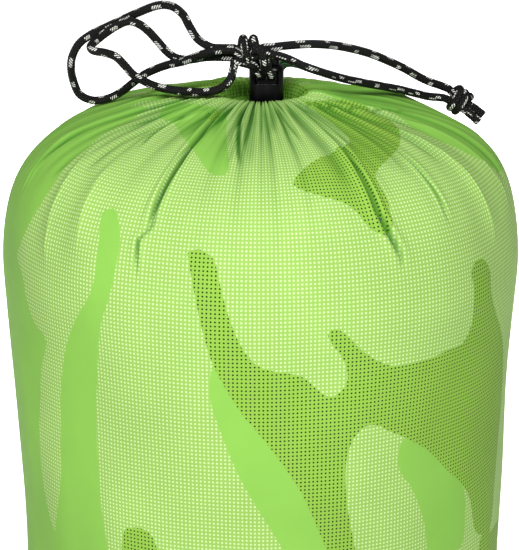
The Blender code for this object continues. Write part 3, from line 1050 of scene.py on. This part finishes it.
    def relief(self, azimuth: Array, along: Array, radius: Array) -> Array:
        """Adds up the pleats, creases, bumps and slow waves, and the puckers along the base seam.

        Args:
            azimuth: Degrees from the front.
            along: Millimetres from the crest.
            radius: Millimetres from the axis.

        Returns:
            The cloth's height over its turned form, in millimetres.
        """
        angle = np.radians(azimuth)
        height = self.gathers(angle, along) + self.crease_depth(azimuth, along, radius)[0]
        for bump in self.bumps:
            aside = np.radians((azimuth - bump.azimuth + 180) % 360 - 180) * radius
            height += bump.height * np.exp(-(aside**2 + (along - bump.along) ** 2) / bump.reach**2)
        body = smooth_step(20, 90, along)
        for waves, drift, size, start in ((3, 90, 0.8, 0.3), (5, -70, 0.7, 1.9), (8, 60, 0.45, 4.0),
                                          (13, -46, 0.3, 2.5), (21, 120, 0.16, 0.9)):
            wave = np.sin(waves * angle + along / drift * 2 + start)
            height += body * size * wave * np.cos(along / drift + start)
        base = smooth_step(self.marks[-1] - 45, self.marks[-1] - 4, along)
        height *= 1 - 0.8 * smooth_step(self.marks[-1] - 14, self.marks[-1], along)
        return height - 0.9 * base * (1 - np.abs(np.cos(29 * angle + 0.8 * np.sin(5 * angle)))) ** 1.5

    def at(self, azimuth: Array, along: Array, lift: float = 0.0) -> Array:
        """Places of points on the cloth.

        Args:
            azimuth: Degrees from the front.
            along: Distance from the crest, in metres.
            lift: How far off the cloth, in metres.

        Returns:
            One row for each point.
        """
        along = along / MM
        radius, height, out, up = (
            np.interp(along, self.marks, row) for row in (*self.fine.T, *self.out.T)
        )
        proud = self.relief(azimuth, along, radius) + lift / MM
        radius, height = radius + out * proud, height + up * proud
        angle = np.radians(azimuth)
        return np.stack([radius * np.sin(angle), -radius * np.cos(angle), height], 1) * MM + (0, 0, CREST)


@dataclass
class Camouflage:
    """The print's zones, each an outline of (azimuth, millimetres along) points on the flat cut."""

    cut_width: float
    dark: tuple = (
        ((39.5, 4), (58, 9), (74.5, 16), (70, 32), (61.5, 46), (50, 58), (38, 67), (31, 75), (30.5, 90),
         (28.5, 104), (24, 100), (20.5, 89), (13, 82.5), (8, 76), (14, 64), (24.5, 55), (33.5, 48), (37, 28)),
        ((-15.5, 109), (-13.5, 107), (-11.5, 108.5), (-9.5, 112), (-8, 124), (-6, 138), (-3.5, 150), (0, 158),
         (8, 162.5), (11, 168), (13.5, 172.5), (16, 172), (18, 166), (17, 156.5), (14.5, 149), (13.5, 143.5),
         (15.5, 142), (18, 146.5), (22, 155), (28, 162), (35, 162.5), (42, 161), (47.5, 160), (50, 151),
         (50, 137), (49.5, 127), (53.5, 124), (57.5, 131), (59, 146), (68.5, 174), (72, 215), (70, 262),
         (60, 262), (56, 243), (52, 232), (46.5, 222), (39.5, 208), (32, 197.5), (28.5, 193.5), (24.5, 188.5),
         (21, 190), (18.5, 199), (18, 213), (19, 230), (22, 262), (18.5, 262), (14, 244), (8.5, 217),
         (1.5, 194), (-4.5, 177.5), (-9.5, 158), (-11.5, 144), (-14, 122)),
        ((-31, 241), (-28.5, 239), (-25, 240), (-23, 248), (-25, 262), (-31, 262), (-32, 250)),
        ((-37, 17), (-34, 21), (-29, 25), (-24, 23), (-26, 18), (-31, 15)),
    )
    solid: tuple = (
        ((-37.5, 97), (-34.5, 94.5), (-31, 107), (-32, 129), (-35, 148), (-37, 173), (-38, 197), (-37.5, 231),
         (-36, 254), (-36, 270), (-54, 270), (-50.5, 228), (-49, 188), (-46, 163), (-42, 147), (-37, 131),
         (-36, 113)),
        ((-96, 126), (-72, 127), (-66, 132.5), (-62.5, 137), (-60.5, 147), (-57.5, 156), (-53.5, 160),
         (-53, 165), (-56, 178), (-57.5, 194), (-59, 214), (-59, 234), (-57, 248), (-55, 255), (-53, 262),
         (-56, 285), (-96, 290), (-100, 200)),
        ((-10, 158), (-5, 160), (2, 180), (9, 200), (16, 225), (20, 262), (9, 264), (4.5, 243), (-4, 211),
         (-8.5, 187), (-10.5, 171)),
        ((-74.5, 18), (-50, 12), (-24, 16), (-14, 40), (-9, 67), (-14, 69), (-24, 52), (-41, 35), (-60, 30)),
        ((31, 200), (34, 198), (42, 207), (49, 225), (53, 237), (53, 262), (42, 262), (39, 242), (35, 224),
         (31, 212)),
        ((-97, -3), (-87, 4), (-86, 12), (-85, 20), (-88, 33), (-82, 47), (-80, 68), (-76, 86), (-84, 101),
         (-88, 111), (-97, 118), (-114, 70), (-112, 30), (-106, 4)),
        ((92, -2), (80, 4), (72.5, 11), (70.5, 20), (75.5, 35), (81.5, 45), (89, 55), (98, 66), (112, 52),
         (118, 22), (108, 2)),
    )
    copies: tuple = ((0, 0, 1), (186, 34, -1), (22, 262, 1), (200, 290, -1), (180, -228, 1))
    reach: float = 12.0

    def inside(self, outlines: tuple, azimuth: Array, along: Array) -> Array:
        """How far inside any of the outlines points lie, below zero outside, in metres.

        Args:
            outlines: The zone's outlines.
            azimuth: Degrees from the front.
            along: Distance from the crest, in metres.

        Returns:
            One value for each point.
        """
        width = self.cut_width
        flat = np.stack([azimuth / 360 * width, along / MM], axis=1)
        best = np.full(len(flat), -self.reach)
        for turn, drop, mirror in self.copies:
            for outline in outlines:
                points = np.array(outline + outline[:1], float)
                points = points * (mirror, 1) + (turn, drop)
                line = smooth_line(points * (width / 360, 1), 3.0)
                centre = (line[:, 0].min() + line[:, 0].max()) / 2
                across = (flat[:, 0] - centre + width / 2) % width - width / 2 + centre
                here = np.stack([across, flat[:, 1]], axis=1)
                low, high = line.min(0) - self.reach, line.max(0) + self.reach
                near = np.flatnonzero(((here > low) & (here < high)).all(1))
                if len(near):
                    best[near] = np.maximum(best[near], self.signed(line, here[near]))
        return best * MM

    def marks(self, azimuth: Callable[[Array], Array]) -> dict[str, Measure]:
        """Gives the zones' attributes for a grid on the cloth.

        Args:
            azimuth: Gives the azimuth for the grid's first measure; the second is the distance along.

        Returns:
            What gives each attribute's values.
        """
        return {
            Zone.DARK.value: lambda a, b: self.inside(self.dark, azimuth(a), b),
            Zone.SOLID.value: lambda a, b: self.inside(self.solid, azimuth(a), b),
        }

    @staticmethod
    def signed(line: Array, points: Array) -> Array:
        """Measures how far points are from a closed line, all in millimetres.

        Args:
            line: The line's points.
            points: The points to measure.

        Returns:
            Distances, above zero inside the line.
        """
        closest = np.full(len(points), 1e9)
        within = np.zeros(len(points), bool)
        for a, b in zip(line, np.roll(line, -1, axis=0)):
            side = b - a
            length = side @ side
            if length < 1e-9:
                continue
            part = np.clip(((points - a) @ side) / length, 0, 1)
            closest = np.minimum(closest, np.hypot(*(points - a - part[:, None] * side).T))
            crosses = (a[1] > points[:, 1]) != (b[1] > points[:, 1])
            if abs(side[1]) > 1e-12:
                within ^= crosses & (points[:, 0] < a[0] + side[0] * (points[:, 1] - a[1]) / side[1])
        return np.where(within, closest, -closest)


@dataclass
class SackBody:
    """The printed tube, its back seam and stitches, and the round base."""

    form: SackForm
    print_finish: bpy.types.Material
    reverse_finish: bpy.types.Material
    thread_finish: bpy.types.Material
    tape_finish: bpy.types.Material
    hem: bpy.types.Object
    thickness: float = 0.4 * MM
    quarters: tuple[tuple[str, float], ...] = (("front_left", -50), ("front_right", 40), ("back_right", 130),
                                               ("back_left", 220))
    quarter_columns: int = 196
    row_steps: tuple[tuple[float, float], ...] = ((60.0, 1.15), (150.0, 1.7), (1e9, 2.55))
    turn_in: float = 1.5 * MM
    cut_margin: float = 20 * MM
    seam_margin: float = 0.4
    base_margin: float = 0.2
    seam_radius: float = 118 * MM
    seam_width: float = 9.0 * MM
    stitch_length: float = 2.6 * MM
    stitch_pitch: float = 3.4 * MM
    thread_width: float = 0.55 * MM
    base_radius: float = 105.0 * MM
    base_rows: tuple[float, float] = (101.2 * MM, 97.6 * MM)

    def rows(self) -> Array:
        """Spaces the panel's rows, closest at the mouth.

        Returns:
            Their distances along.
        """
        marks = [self.form.first]
        for end, step in self.row_steps:
            stop = min(end * MM, self.form.last)
            count = max(1, round((stop - marks[-1]) / (step * MM)))
            marks.extend(np.linspace(marks[-1], stop, count + 1)[1:])
        return np.array(marks)

    def columns(self, start: float) -> Array:
        """Spaces a quarter's columns, closest at the main creases.

        Args:
            start: The quarter's first azimuth.

        Returns:
            Their azimuths.
        """
        fine = np.linspace(start, start + 90, 1801)
        weight = np.ones_like(fine)
        for crease in self.form.creases:
            turns = np.array(crease.line)[:, 0]
            away = np.abs((fine - turns.mean() + 180) % 360 - 180) - np.ptp(turns) / 2
            if np.ptp(turns) < 12:
                weight += 2.6 * np.exp(-((np.clip(away, 0, None) / 1.8) ** 2))
        total = np.r_[0, np.cumsum((weight[1:] + weight[:-1]) / 2)]
        return np.interp(np.linspace(0, total[-1], self.quarter_columns + 1), total, fine)

    def panel(self) -> None:
        """Bends the tube's cut into shape in four quarters that meet without a step."""
        camo = Camouflage(self.form.cut_width)
        width = self.form.cut_width * MM
        rows = self.rows()[::-1]
        for name, start in self.quarters:
            columns = self.columns(start)
            marks = camo.marks(lambda a: a)
            # The hem's turn-in, down the mouth, falls in a dark part of the print.
            marks[Zone.DARK.value] = lambda a, b: np.maximum(camo.inside(camo.dark, a, b), -self.turn_in - b)
            marks[FOLD_SHADE] = self.form.shade
            bm = bent_grid(columns, rows, self.form.at,
                           lambda a, b: np.stack([(a + 180) / 360 * width, b + self.cut_margin], axis=1),
                           CLOTH_MAP, marks)
            made = new_piece("printed_panel_" + name, bm, self.print_finish, 180)
            made.data.materials.append(self.reverse_finish)
            self.crisp_rim(made.data)
            thicken(made, self.thickness, inner=1)
            fitted(made, "side_panel")

    @staticmethod
    def crisp_rim(mesh: bpy.types.Mesh) -> None:
        """Keeps the shading of an open sheet's edge apart from that of its cut rim.

        Args:
            mesh: The sheet.
        """
        uses = np.zeros(len(mesh.edges), int)
        corner_edges = np.empty(len(mesh.loops), np.int32)
        mesh.loops.foreach_get("edge_index", corner_edges)
        np.add.at(uses, corner_edges, 1)
        for i in np.flatnonzero(uses == 1):
            mesh.edges[int(i)].use_edge_sharp = True

    def seam(self) -> None:
        """Lays the felled seam down the back, with its two rows of stitches."""
        reach = self.seam_width / 2 / MM

        def shape(aside: Array, along: Array) -> Array:
            """Places points of the seam's strip, which stands a little proud and is rounded at its edges.

            Args:
                aside: Their distances from its middle, in millimetres.
                along: Their distances from the crest.

            Returns:
                One row for each point.
            """
            radius = np.interp(along / MM, self.form.marks, self.form.fine[:, 0])
            azimuth = 180 + np.degrees(aside / radius)
            crown = 0.55 * MM * (1 - (np.abs(aside) / reach) ** 6)
            pinch = 0.1 * MM * np.sin(along / MM * 1.1)
            places = self.form.at(azimuth, along)
            places[:, 1] += crown + pinch * (1 - np.abs(aside) / 5)
            return places

        marks = Camouflage(self.form.cut_width).marks(lambda a: 180 + np.degrees(a * MM / self.seam_radius))
        rows = np.arange(12 * MM, self.form.last - 20 * MM, 1.6 * MM)
        bm = bent_grid(np.linspace(-reach, reach, 15), rows[::-1], shape,
                       lambda a, b: np.stack([a * MM + self.seam_margin, b], axis=1), CLOTH_MAP, marks)
        bmesh.ops.solidify(bm, geom=list(bm.faces), thickness=0.5 * MM)
        bmesh.ops.recalc_face_normals(bm, faces=bm.faces)
        fitted(new_piece("felled_back_seam", bm, self.print_finish, 50), "side_seam")
        places = []
        for aside in (-2.8, 2.8):
            spots = np.arange(14 * MM, self.form.last - 22 * MM, self.stitch_pitch)
            ends = [shape(np.full(len(spots), aside), spots + k * self.stitch_length / 2) for k in (-1, 1)]
            places.extend(zip(*ends))
        self.stitches("back_seam_stitches", places, Vector((0, 1, 0)))

    def stitches(self, name: str, places: Sequence[tuple[Array, Array]], out: Vector | None) -> None:
        """Sews a row: each stitch is a short rounded bar of thread, half sunk in the cloth.

        Args:
            name: The piece's name.
            places: Both ends of each stitch.
            out: Which way the cloth faces there, or None for straight down.
        """
        bm = bmesh.new()
        for low, high in places:
            a, b = Vector(low), Vector(high)
            turn = (b - a).to_track_quat("Z", "Y").to_matrix().to_4x4()
            grown = bmesh.ops.create_icosphere(bm, subdivisions=1, radius=0.5)["verts"]
            bmesh.ops.scale(bm, vec=(self.thread_width, self.thread_width, (b - a).length), verts=grown)
            lift = (out or Vector((0, 0, -1))) * 0.1 * MM
            bmesh.ops.transform(bm, matrix=Matrix.Translation((a + b) / 2 + lift) @ turn, verts=grown)
        fitted(new_piece(name, bm, self.thread_finish, 80))

    def base(self) -> None:
        """Makes the base disc with its puckered edge, its two rows of stitches and the binding inside."""

        def shape(turn: Array, radius: Array) -> Array:
            """Places points of the disc, flat in the middle and drawn up in small puckers at the seam.

            Args:
                turn: Their azimuths in degrees.
                radius: Their distances from the axis.

            Returns:
                One row for each point.
            """
            angle = np.radians(turn)
            edge = smooth_step(0.078, 0.1035, radius)
            pucker = 0.5 * MM * edge * (1 - np.abs(np.cos(29 * angle + 0.8 * np.sin(5 * angle))))
            height = 0.42 * MM + pucker + 0.12 * MM * (1 + np.sin(3 * angle + radius * 90))
            return np.stack([radius * np.sin(angle), -radius * np.cos(angle), height], axis=1)

        radii = np.r_[np.linspace(0.0005, 0.08, 22), np.linspace(0.082, self.base_radius, 18)]
        bm = bent_grid(np.linspace(-180, 180, 241), radii, shape,
                       lambda a, b: np.stack([b * np.sin(np.radians(a)), b * np.cos(np.radians(a))], axis=1)
                       + self.base_margin, CLOTH_MAP,
                       {zone.value: lambda a, b: np.full(len(a), OUTSIDE) for zone in Zone})
        bmesh.ops.remove_doubles(bm, verts=bm.verts, dist=0.003 * MM)
        middle = [e for e in bm.edges if e.is_boundary and e.verts[0].co.xy.length < 0.01]
        bmesh.ops.holes_fill(bm, edges=middle, sides=0)
        for face in bm.faces:
            face.normal_update()
            if face.normal.z > 0:
                face.normal_flip()
        made = new_piece("base_disc", bm, self.print_finish, 60)
        thicken(made, self.thickness)
        fitted(made, "base_panel")
        places = []
        for row in self.base_rows:
            count = int(math.tau * row / self.stitch_pitch)
            span = 180 * self.stitch_length / (math.pi * row)
            turns = np.arange(count) * 360 / count
            ends = [shape(turns + k * span / 2, np.full(count, row)) for k in (-1, 1)]
            places.extend(zip(*ends))
        self.stitches("base_seam_stitches", places, None)
        self.binding()

    def binding(self) -> None:
        """Folds the binding tape round the seam allowance inside the base."""
        low, high = (Vector(c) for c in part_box("base_binding"))
        outer = high.x
        middle = (low.z + high.z) / 2
        profile = [(outer - 0.2 * MM, low.z + 0.1 * MM), (outer, middle),
                   (outer - 0.2 * MM, high.z - 0.1 * MM), (outer - 3.2 * MM, high.z + 0.1 * MM),
                   (outer - 6.3 * MM, high.z - 0.1 * MM), (outer - 6.5 * MM, middle),
                   (outer - 6.3 * MM, low.z + 0.1 * MM), (outer - 3.2 * MM, low.z)]
        bm = bmesh.new()
        ring = [bm.verts.new((r, 0, z)) for r, z in profile]
        edges = [bm.edges.new((a, b)) for a, b in zip(ring, ring[1:] + ring[:1])]
        bmesh.ops.spin(bm, geom=ring + edges, cent=(0, 0, 0), axis=(0, 0, 1), angle=math.tau, steps=180,
                       use_merge=True, use_duplicate=False)
        bmesh.ops.remove_doubles(bm, verts=bm.verts, dist=0.01 * MM)
        bmesh.ops.recalc_face_normals(bm, faces=bm.faces)
        fitted(new_piece("binding_tape_ring", bm, self.tape_finish, 50), "base_binding")

    def build(self) -> None:
        """Makes the whole body."""
        self.panel()
        self.seam()
        self.base()


# ------------------------------------------------------------------------------------------------------ mouth


@dataclass
class Mouth:
    """The pleated hem tunnel inside the mouth and the crumpled flap under it; sizes are in millimetres."""

    form: SackForm
    tunnel_finish: bpy.types.Material
    flap_finish: bpy.types.Material
    radius: float = 13.8
    height: float = -9.8
    half_width: float = 3.1
    half_height: float = 4.6
    open_angle: float = 26.0
    pleats: int = 56
    tunnel_width: float = 24.0
    tunnel_shade: float = 0.6
    thickness: float = 0.3
    flap_line: tuple[tuple[float, float], ...] = (
        (3, -15), (4, -6), (5.2, 2), (7.5, 8.2), (11.5, 10.6), (17.4, 8.9),
    )
    flap_half: float = 4.0
    flap_depth: float = 9.2
    hem: bpy.types.Object | None = None

    def tunnel(self) -> None:
        """Bends the hem into a pleated ring round the cord, open at the front where the cord leaves it."""

        def shape(turn: Array, section: Array) -> Array:
            """Places points of the tunnel.

            Args:
                turn: Their azimuths in degrees.
                section: Their turns round its section.

            Returns:
                One row for each point.
            """
            angle, around = np.radians(turn), section * math.tau
            root = 1 - np.abs(np.cos(self.pleats / 2 * angle + 0.9 * np.sin(3 * angle + 1) + 0.4
                                     + 0.3 * np.sin(around)))
            pinch = 1 - 0.28 * root
            ends = smooth_step(self.open_angle, self.open_angle + 5, np.abs(turn)) * 0.25 + 0.75
            radius = self.radius + self.half_width * pinch * ends * np.cos(around)
            height = self.height + self.half_height * pinch * ends * np.sin(around)
            return np.stack([radius * np.sin(angle), -radius * np.cos(angle), height], 1) * MM + (0, 0, CREST)

        turns = np.linspace(self.open_angle, 360 - self.open_angle, 640)
        bm = bent_grid(turns, np.linspace(0, 1, 29), shape,
                       lambda a, b: np.stack([a / 360 * self.form.cut_width, b * self.tunnel_width], 1) * MM,
                       CLOTH_MAP, {Zone.DARK.value: lambda a, b: np.full(len(a), INSIDE),
                                   Zone.SOLID.value: lambda a, b: np.full(len(a), OUTSIDE),
                                   FOLD_SHADE: lambda a, b: np.full(len(a), self.tunnel_shade)})
        bmesh.ops.remove_doubles(bm, verts=bm.verts, dist=0.001 * MM)
        bmesh.ops.recalc_face_normals(bm, faces=bm.faces)
        made = new_piece("gathered_hem_tunnel", bm, self.tunnel_finish, 180)
        thicken(made, self.thickness * MM)
        self.hem = fitted(made, "drawcord_channel")

    def flap(self) -> None:
        """Crumples the inner flap up between the contents and the lock."""
        line = smooth_line(self.flap_line, 0.4)
        heading = np.gradient(line, axis=0)
        heading /= np.linalg.norm(heading, axis=1)[:, None]
        marks = np.linspace(0, 1, len(line))

        def shape(side: Array, up: Array) -> Array:
            """Places points of the flap, which stands up behind the lock and droops to its pointed tip.

            Args:
                side: Their places across it, from -1 to 1.
                up: Their places from its foot, 0, to its tip, 1.

            Returns:
                One row for each point.
            """
            x, z = (np.interp(up, marks, row) for row in line.T)
            lean, rise = (np.interp(up, marks, row) for row in heading.T)
            half = self.flap_half * (0.75 + 0.25 * np.sin(up * math.pi))
            half = half * (1 - 0.86 * smooth_step(0.62, 1, up))
            y = self.flap_depth + 0.6 * np.sin(side * 7 + up * 5) + 0.4 * np.sin(side * 13 - up * 9)
            return np.stack([x + rise * side * half, y, z - lean * side * half], axis=1) * MM + (0, 0, CREST)

        bm = bent_grid(np.linspace(-1, 1, 33), np.linspace(0, 1, 61), shape,
                       lambda a, b: np.stack([a * 6 * MM, b * 30 * MM], axis=1), CLOTH_MAP)
        made = new_piece("crumpled_inner_flap", bm, self.flap_finish, 180)
        thicken(made, self.thickness * MM, offset=0.0)
        fitted(made, "storm_flap")

    def build(self) -> None:
        """Makes the mouth's parts."""
        self.tunnel()
        self.flap()


@dataclass
class SleepingBag:
    """The stuffed sleeping bag: it fills the cloth's pleats and creases, with soft wrinkles of its own."""

    finish: bpy.types.Material
    form: SackForm
    depth: float = 1.5 * MM
    top_radius: float = 15.0 * MM
    top_height: float = -17.0 * MM
    columns: int = 360

    def build(self) -> None:
        """Follows the cloth from inside, closes both ends and dents the surface with wrinkles."""
        wall = np.r_[np.arange(self.form.first, 60 * MM, 2 * MM),
                     np.arange(60 * MM, self.form.last, 3.5 * MM)]
        steps = len(wall)

        def shape(turn: Array, step: Array) -> Array:
            """Places points of the bag: the top's middle, the wall's rows and the foot's middle.

            Args:
                turn: Their azimuths in degrees.
                step: Their steps from the top's middle.

            Returns:
                One row for each point.
            """
            row = np.clip(step.astype(int) - 2, 0, steps - 1)
            angle = np.radians(turn)
            wrinkle = (1 - np.abs(np.cos(4 * angle + wall[row] * 50))) ** 2 * 1.2 * MM
            wrinkle = wrinkle * smooth_step(0.03, 0.07, wall[row])
            places = self.form.at(turn, wall[row], -self.depth)
            inward = 1 - wrinkle / np.hypot(places[:, 0], places[:, 1])
            places[:, :2] *= inward[:, None]
            places[:, 2] = np.maximum(places[:, 2], 1.3 * MM)
            for number, radius in ((0, 0.3 * MM), (1, self.top_radius)):
                here = step.astype(int) == number
                ring = np.stack([radius * np.sin(angle), -radius * np.cos(angle)], axis=1)
                places[here, :2] = ring[here]
                places[here, 2] = CREST + self.top_height
            here = step.astype(int) == steps + 2
            places[here, :2] *= 0.004
            return places

        bm = bent_grid(np.linspace(-180, 180, self.columns + 1), np.arange(steps + 3, dtype=float)[::-1],
                       shape, lambda a, b: np.stack([a / 360, b / steps], axis=1), CLOTH_MAP)
        bmesh.ops.remove_doubles(bm, verts=bm.verts, dist=0.002 * MM)
        bmesh.ops.holes_fill(bm, edges=[e for e in bm.edges if e.is_boundary], sides=0)
        bmesh.ops.recalc_face_normals(bm, faces=bm.faces)
        made = new_piece("packed_sleeping_bag", bm, self.finish, 180)
        fitted(made, "stuffed_sleeping_bag")


# ------------------------------------------------------------------------------------------------------- lock


@dataclass
class CordLock:
    """The moulded cord lock: body with its bore and cord hole, plunger with its button, and spring.

    Its sizes are in millimetres and its heights are from the crest. A hole is its width, foot and top.
    """

    finish: bpy.types.Material
    wire_finish: bpy.types.Material
    centre: tuple[float, float] = (2.5, -7.0)
    size: tuple[float, float] = (16.0, 11.0)
    foot: float = -4.0
    top: float = 14.0
    hole: tuple[float, float, float] = (11.0, 5.3, 11.5)
    plunger_size: tuple[float, float] = (12.0, 6.8)
    plunger_foot: float = 4.9
    plunger_hole: tuple[float, float, float] = (9.4, 6.9, 14.0)
    button_size: tuple[float, float] = (10.0, 7.4)
    button_foot: float = 17.0
    button_top: float = 19.5
    bore_floor: float = -2.2
    clearance: float = 0.6
    overshoot: float = 6.0
    travel: float = 2.6

    def block(
        self, name: str, size: tuple[float, float], low: float, high: float, upright: float = 0.0,
        top: float = 0.0, foot: float = 0.0,
    ) -> bpy.types.Object:
        """Makes a box between two heights with rounded upright, top and foot edges.

        Args:
            name: The object's name.
            size: Width and depth in millimetres.
            low: Its foot, in millimetres from the crest.
            high: Its top.
            upright: Radius of the upright edges.
            top: Radius of the top edge.
            foot: Radius of the foot edge.

        Returns:
            The block.
        """
        bm = bmesh.new()
        bmesh.ops.create_cube(bm, size=1.0)
        bmesh.ops.scale(bm, vec=(size[0] * MM, size[1] * MM, (high - low) * MM), verts=bm.verts)
        middle = (self.centre[0] * MM, self.centre[1] * MM, CREST + (low + high) / 2 * MM)
        bmesh.ops.translate(bm, vec=middle, verts=bm.verts)
        if upright:
            posts = [e for e in bm.edges if abs(e.verts[0].co.z - e.verts[1].co.z) > 1e-6]
            bmesh.ops.bevel(bm, geom=posts, offset=upright * MM, offset_type="OFFSET", segments=10,
                            profile=0.5, affect="EDGES", material=-1)
        for radius, level in ((top, high), (foot, low)):
            if radius:
                height = CREST + level * MM
                rim = [e for e in bm.edges if all(abs(v.co.z - height) < 1e-6 for v in e.verts)]
                bmesh.ops.bevel(bm, geom=rim, offset=radius * MM, offset_type="OFFSET", segments=6,
                                profile=0.5, affect="EDGES", material=-1)
        return new_piece(name, bm, self.finish, 35)

    def cut(
        self, target: bpy.types.Object, tool: bpy.types.Object, operation: str = "DIFFERENCE"
    ) -> None:
        """Cuts the tool's shape out of the target or joins it on, and removes the tool.

        Args:
            target: The object that is changed.
            tool: The shape, which is removed.
            operation: DIFFERENCE to cut, UNION to join.
        """
        boolean = target.modifiers.new("cut", "BOOLEAN")
        boolean.operation = operation
        boolean.object = tool
        boolean.solver = "EXACT"
        applied(target)
        bpy.data.objects.remove(tool)

    def softened(self, target: bpy.types.Object, radius: float) -> None:
        """Rounds what the cutting left sharp, as a mould does.

        Args:
            target: The moulding.
            radius: The rounding's radius in millimetres.
        """
        soften = target.modifiers.new("mould_radius", "BEVEL")
        soften.width = radius * MM
        soften.segments = 3
        soften.limit_method = "ANGLE"
        soften.angle_limit = math.radians(38)
        soften.harden_normals = False
        applied(target)
        target.data.shade_smooth()
        target.data.set_sharp_from_angle(angle=math.radians(50))

    def build(self) -> None:
        """Moulds the body and the plunger, and winds the spring."""
        barrel = self.block("lock_body", self.size, self.foot, self.top, 4.0, 3.2, 0.8)
        bore = (self.plunger_size[0] + self.clearance, self.plunger_size[1] + self.clearance)
        self.cut(barrel, self.block("bore", bore, self.bore_floor, self.top + self.overshoot, 2.3))
        width, lower, upper = self.hole
        through = self.size[1] + self.overshoot
        self.cut(barrel, self.block("cord_hole", (width, through), lower, upper))
        self.softened(barrel, 0.45)
        fitted(barrel, "cord_lock_barrel")

        plunger = self.block("lock_plunger_button", self.plunger_size, self.plunger_foot, self.button_foot,
                             2.0)
        width, lower, upper = self.plunger_hole
        self.cut(plunger, self.block("clamp_hole", (width, through), lower, upper))
        button = self.block("button", self.button_size, self.button_foot - 0.4, self.button_top, 2.6, 1.2)
        self.cut(plunger, button, "UNION")
        self.softened(plunger, 0.3)
        fitted(plunger, "cord_lock_plunger", PLUNGER)

        self.spring()

    def spring(self) -> None:
        """Winds the spring on the CAD coil's own lines."""
        wire = bmesh.new()
        wire.from_mesh(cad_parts["cord_lock_spring"].data)
        bmesh.ops.remove_doubles(wire, verts=wire.verts, dist=0.001 * MM)
        made = new_piece("coiled_lock_spring", wire, self.wire_finish, 50)
        fitted(made, "cord_lock_spring")
        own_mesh(made)


def main() -> None:
    """Builds the studio and every sub-assembly, cord first."""
    logging.basicConfig(level=logging.INFO, format="%(message)s")
    Studio().build()
    Drawcord(BraidedPolyester().build()).build()
    form = SackForm()
    nylon = PrintedNylon().build()
    reverse = CoatedCloth("coated_nylon_reverse", "7fae4c").build()
    mouth = Mouth(form, nylon, CoatedCloth("plain_dyed_taffeta", "1f5a1c", 0.5).build())
    mouth.build()
    SackBody(form, nylon, reverse, SpunThread().build(), WovenTape().build(), mouth.hem).build()
    SleepingBag(CoatedCloth("sleeping_bag_shell", "33463f", 0.5, 90.0).build(), form).build()
    CordLock(MouldedAcetal().build(), SpringSteel().build()).build()


if __name__ == "__main__":
    main()
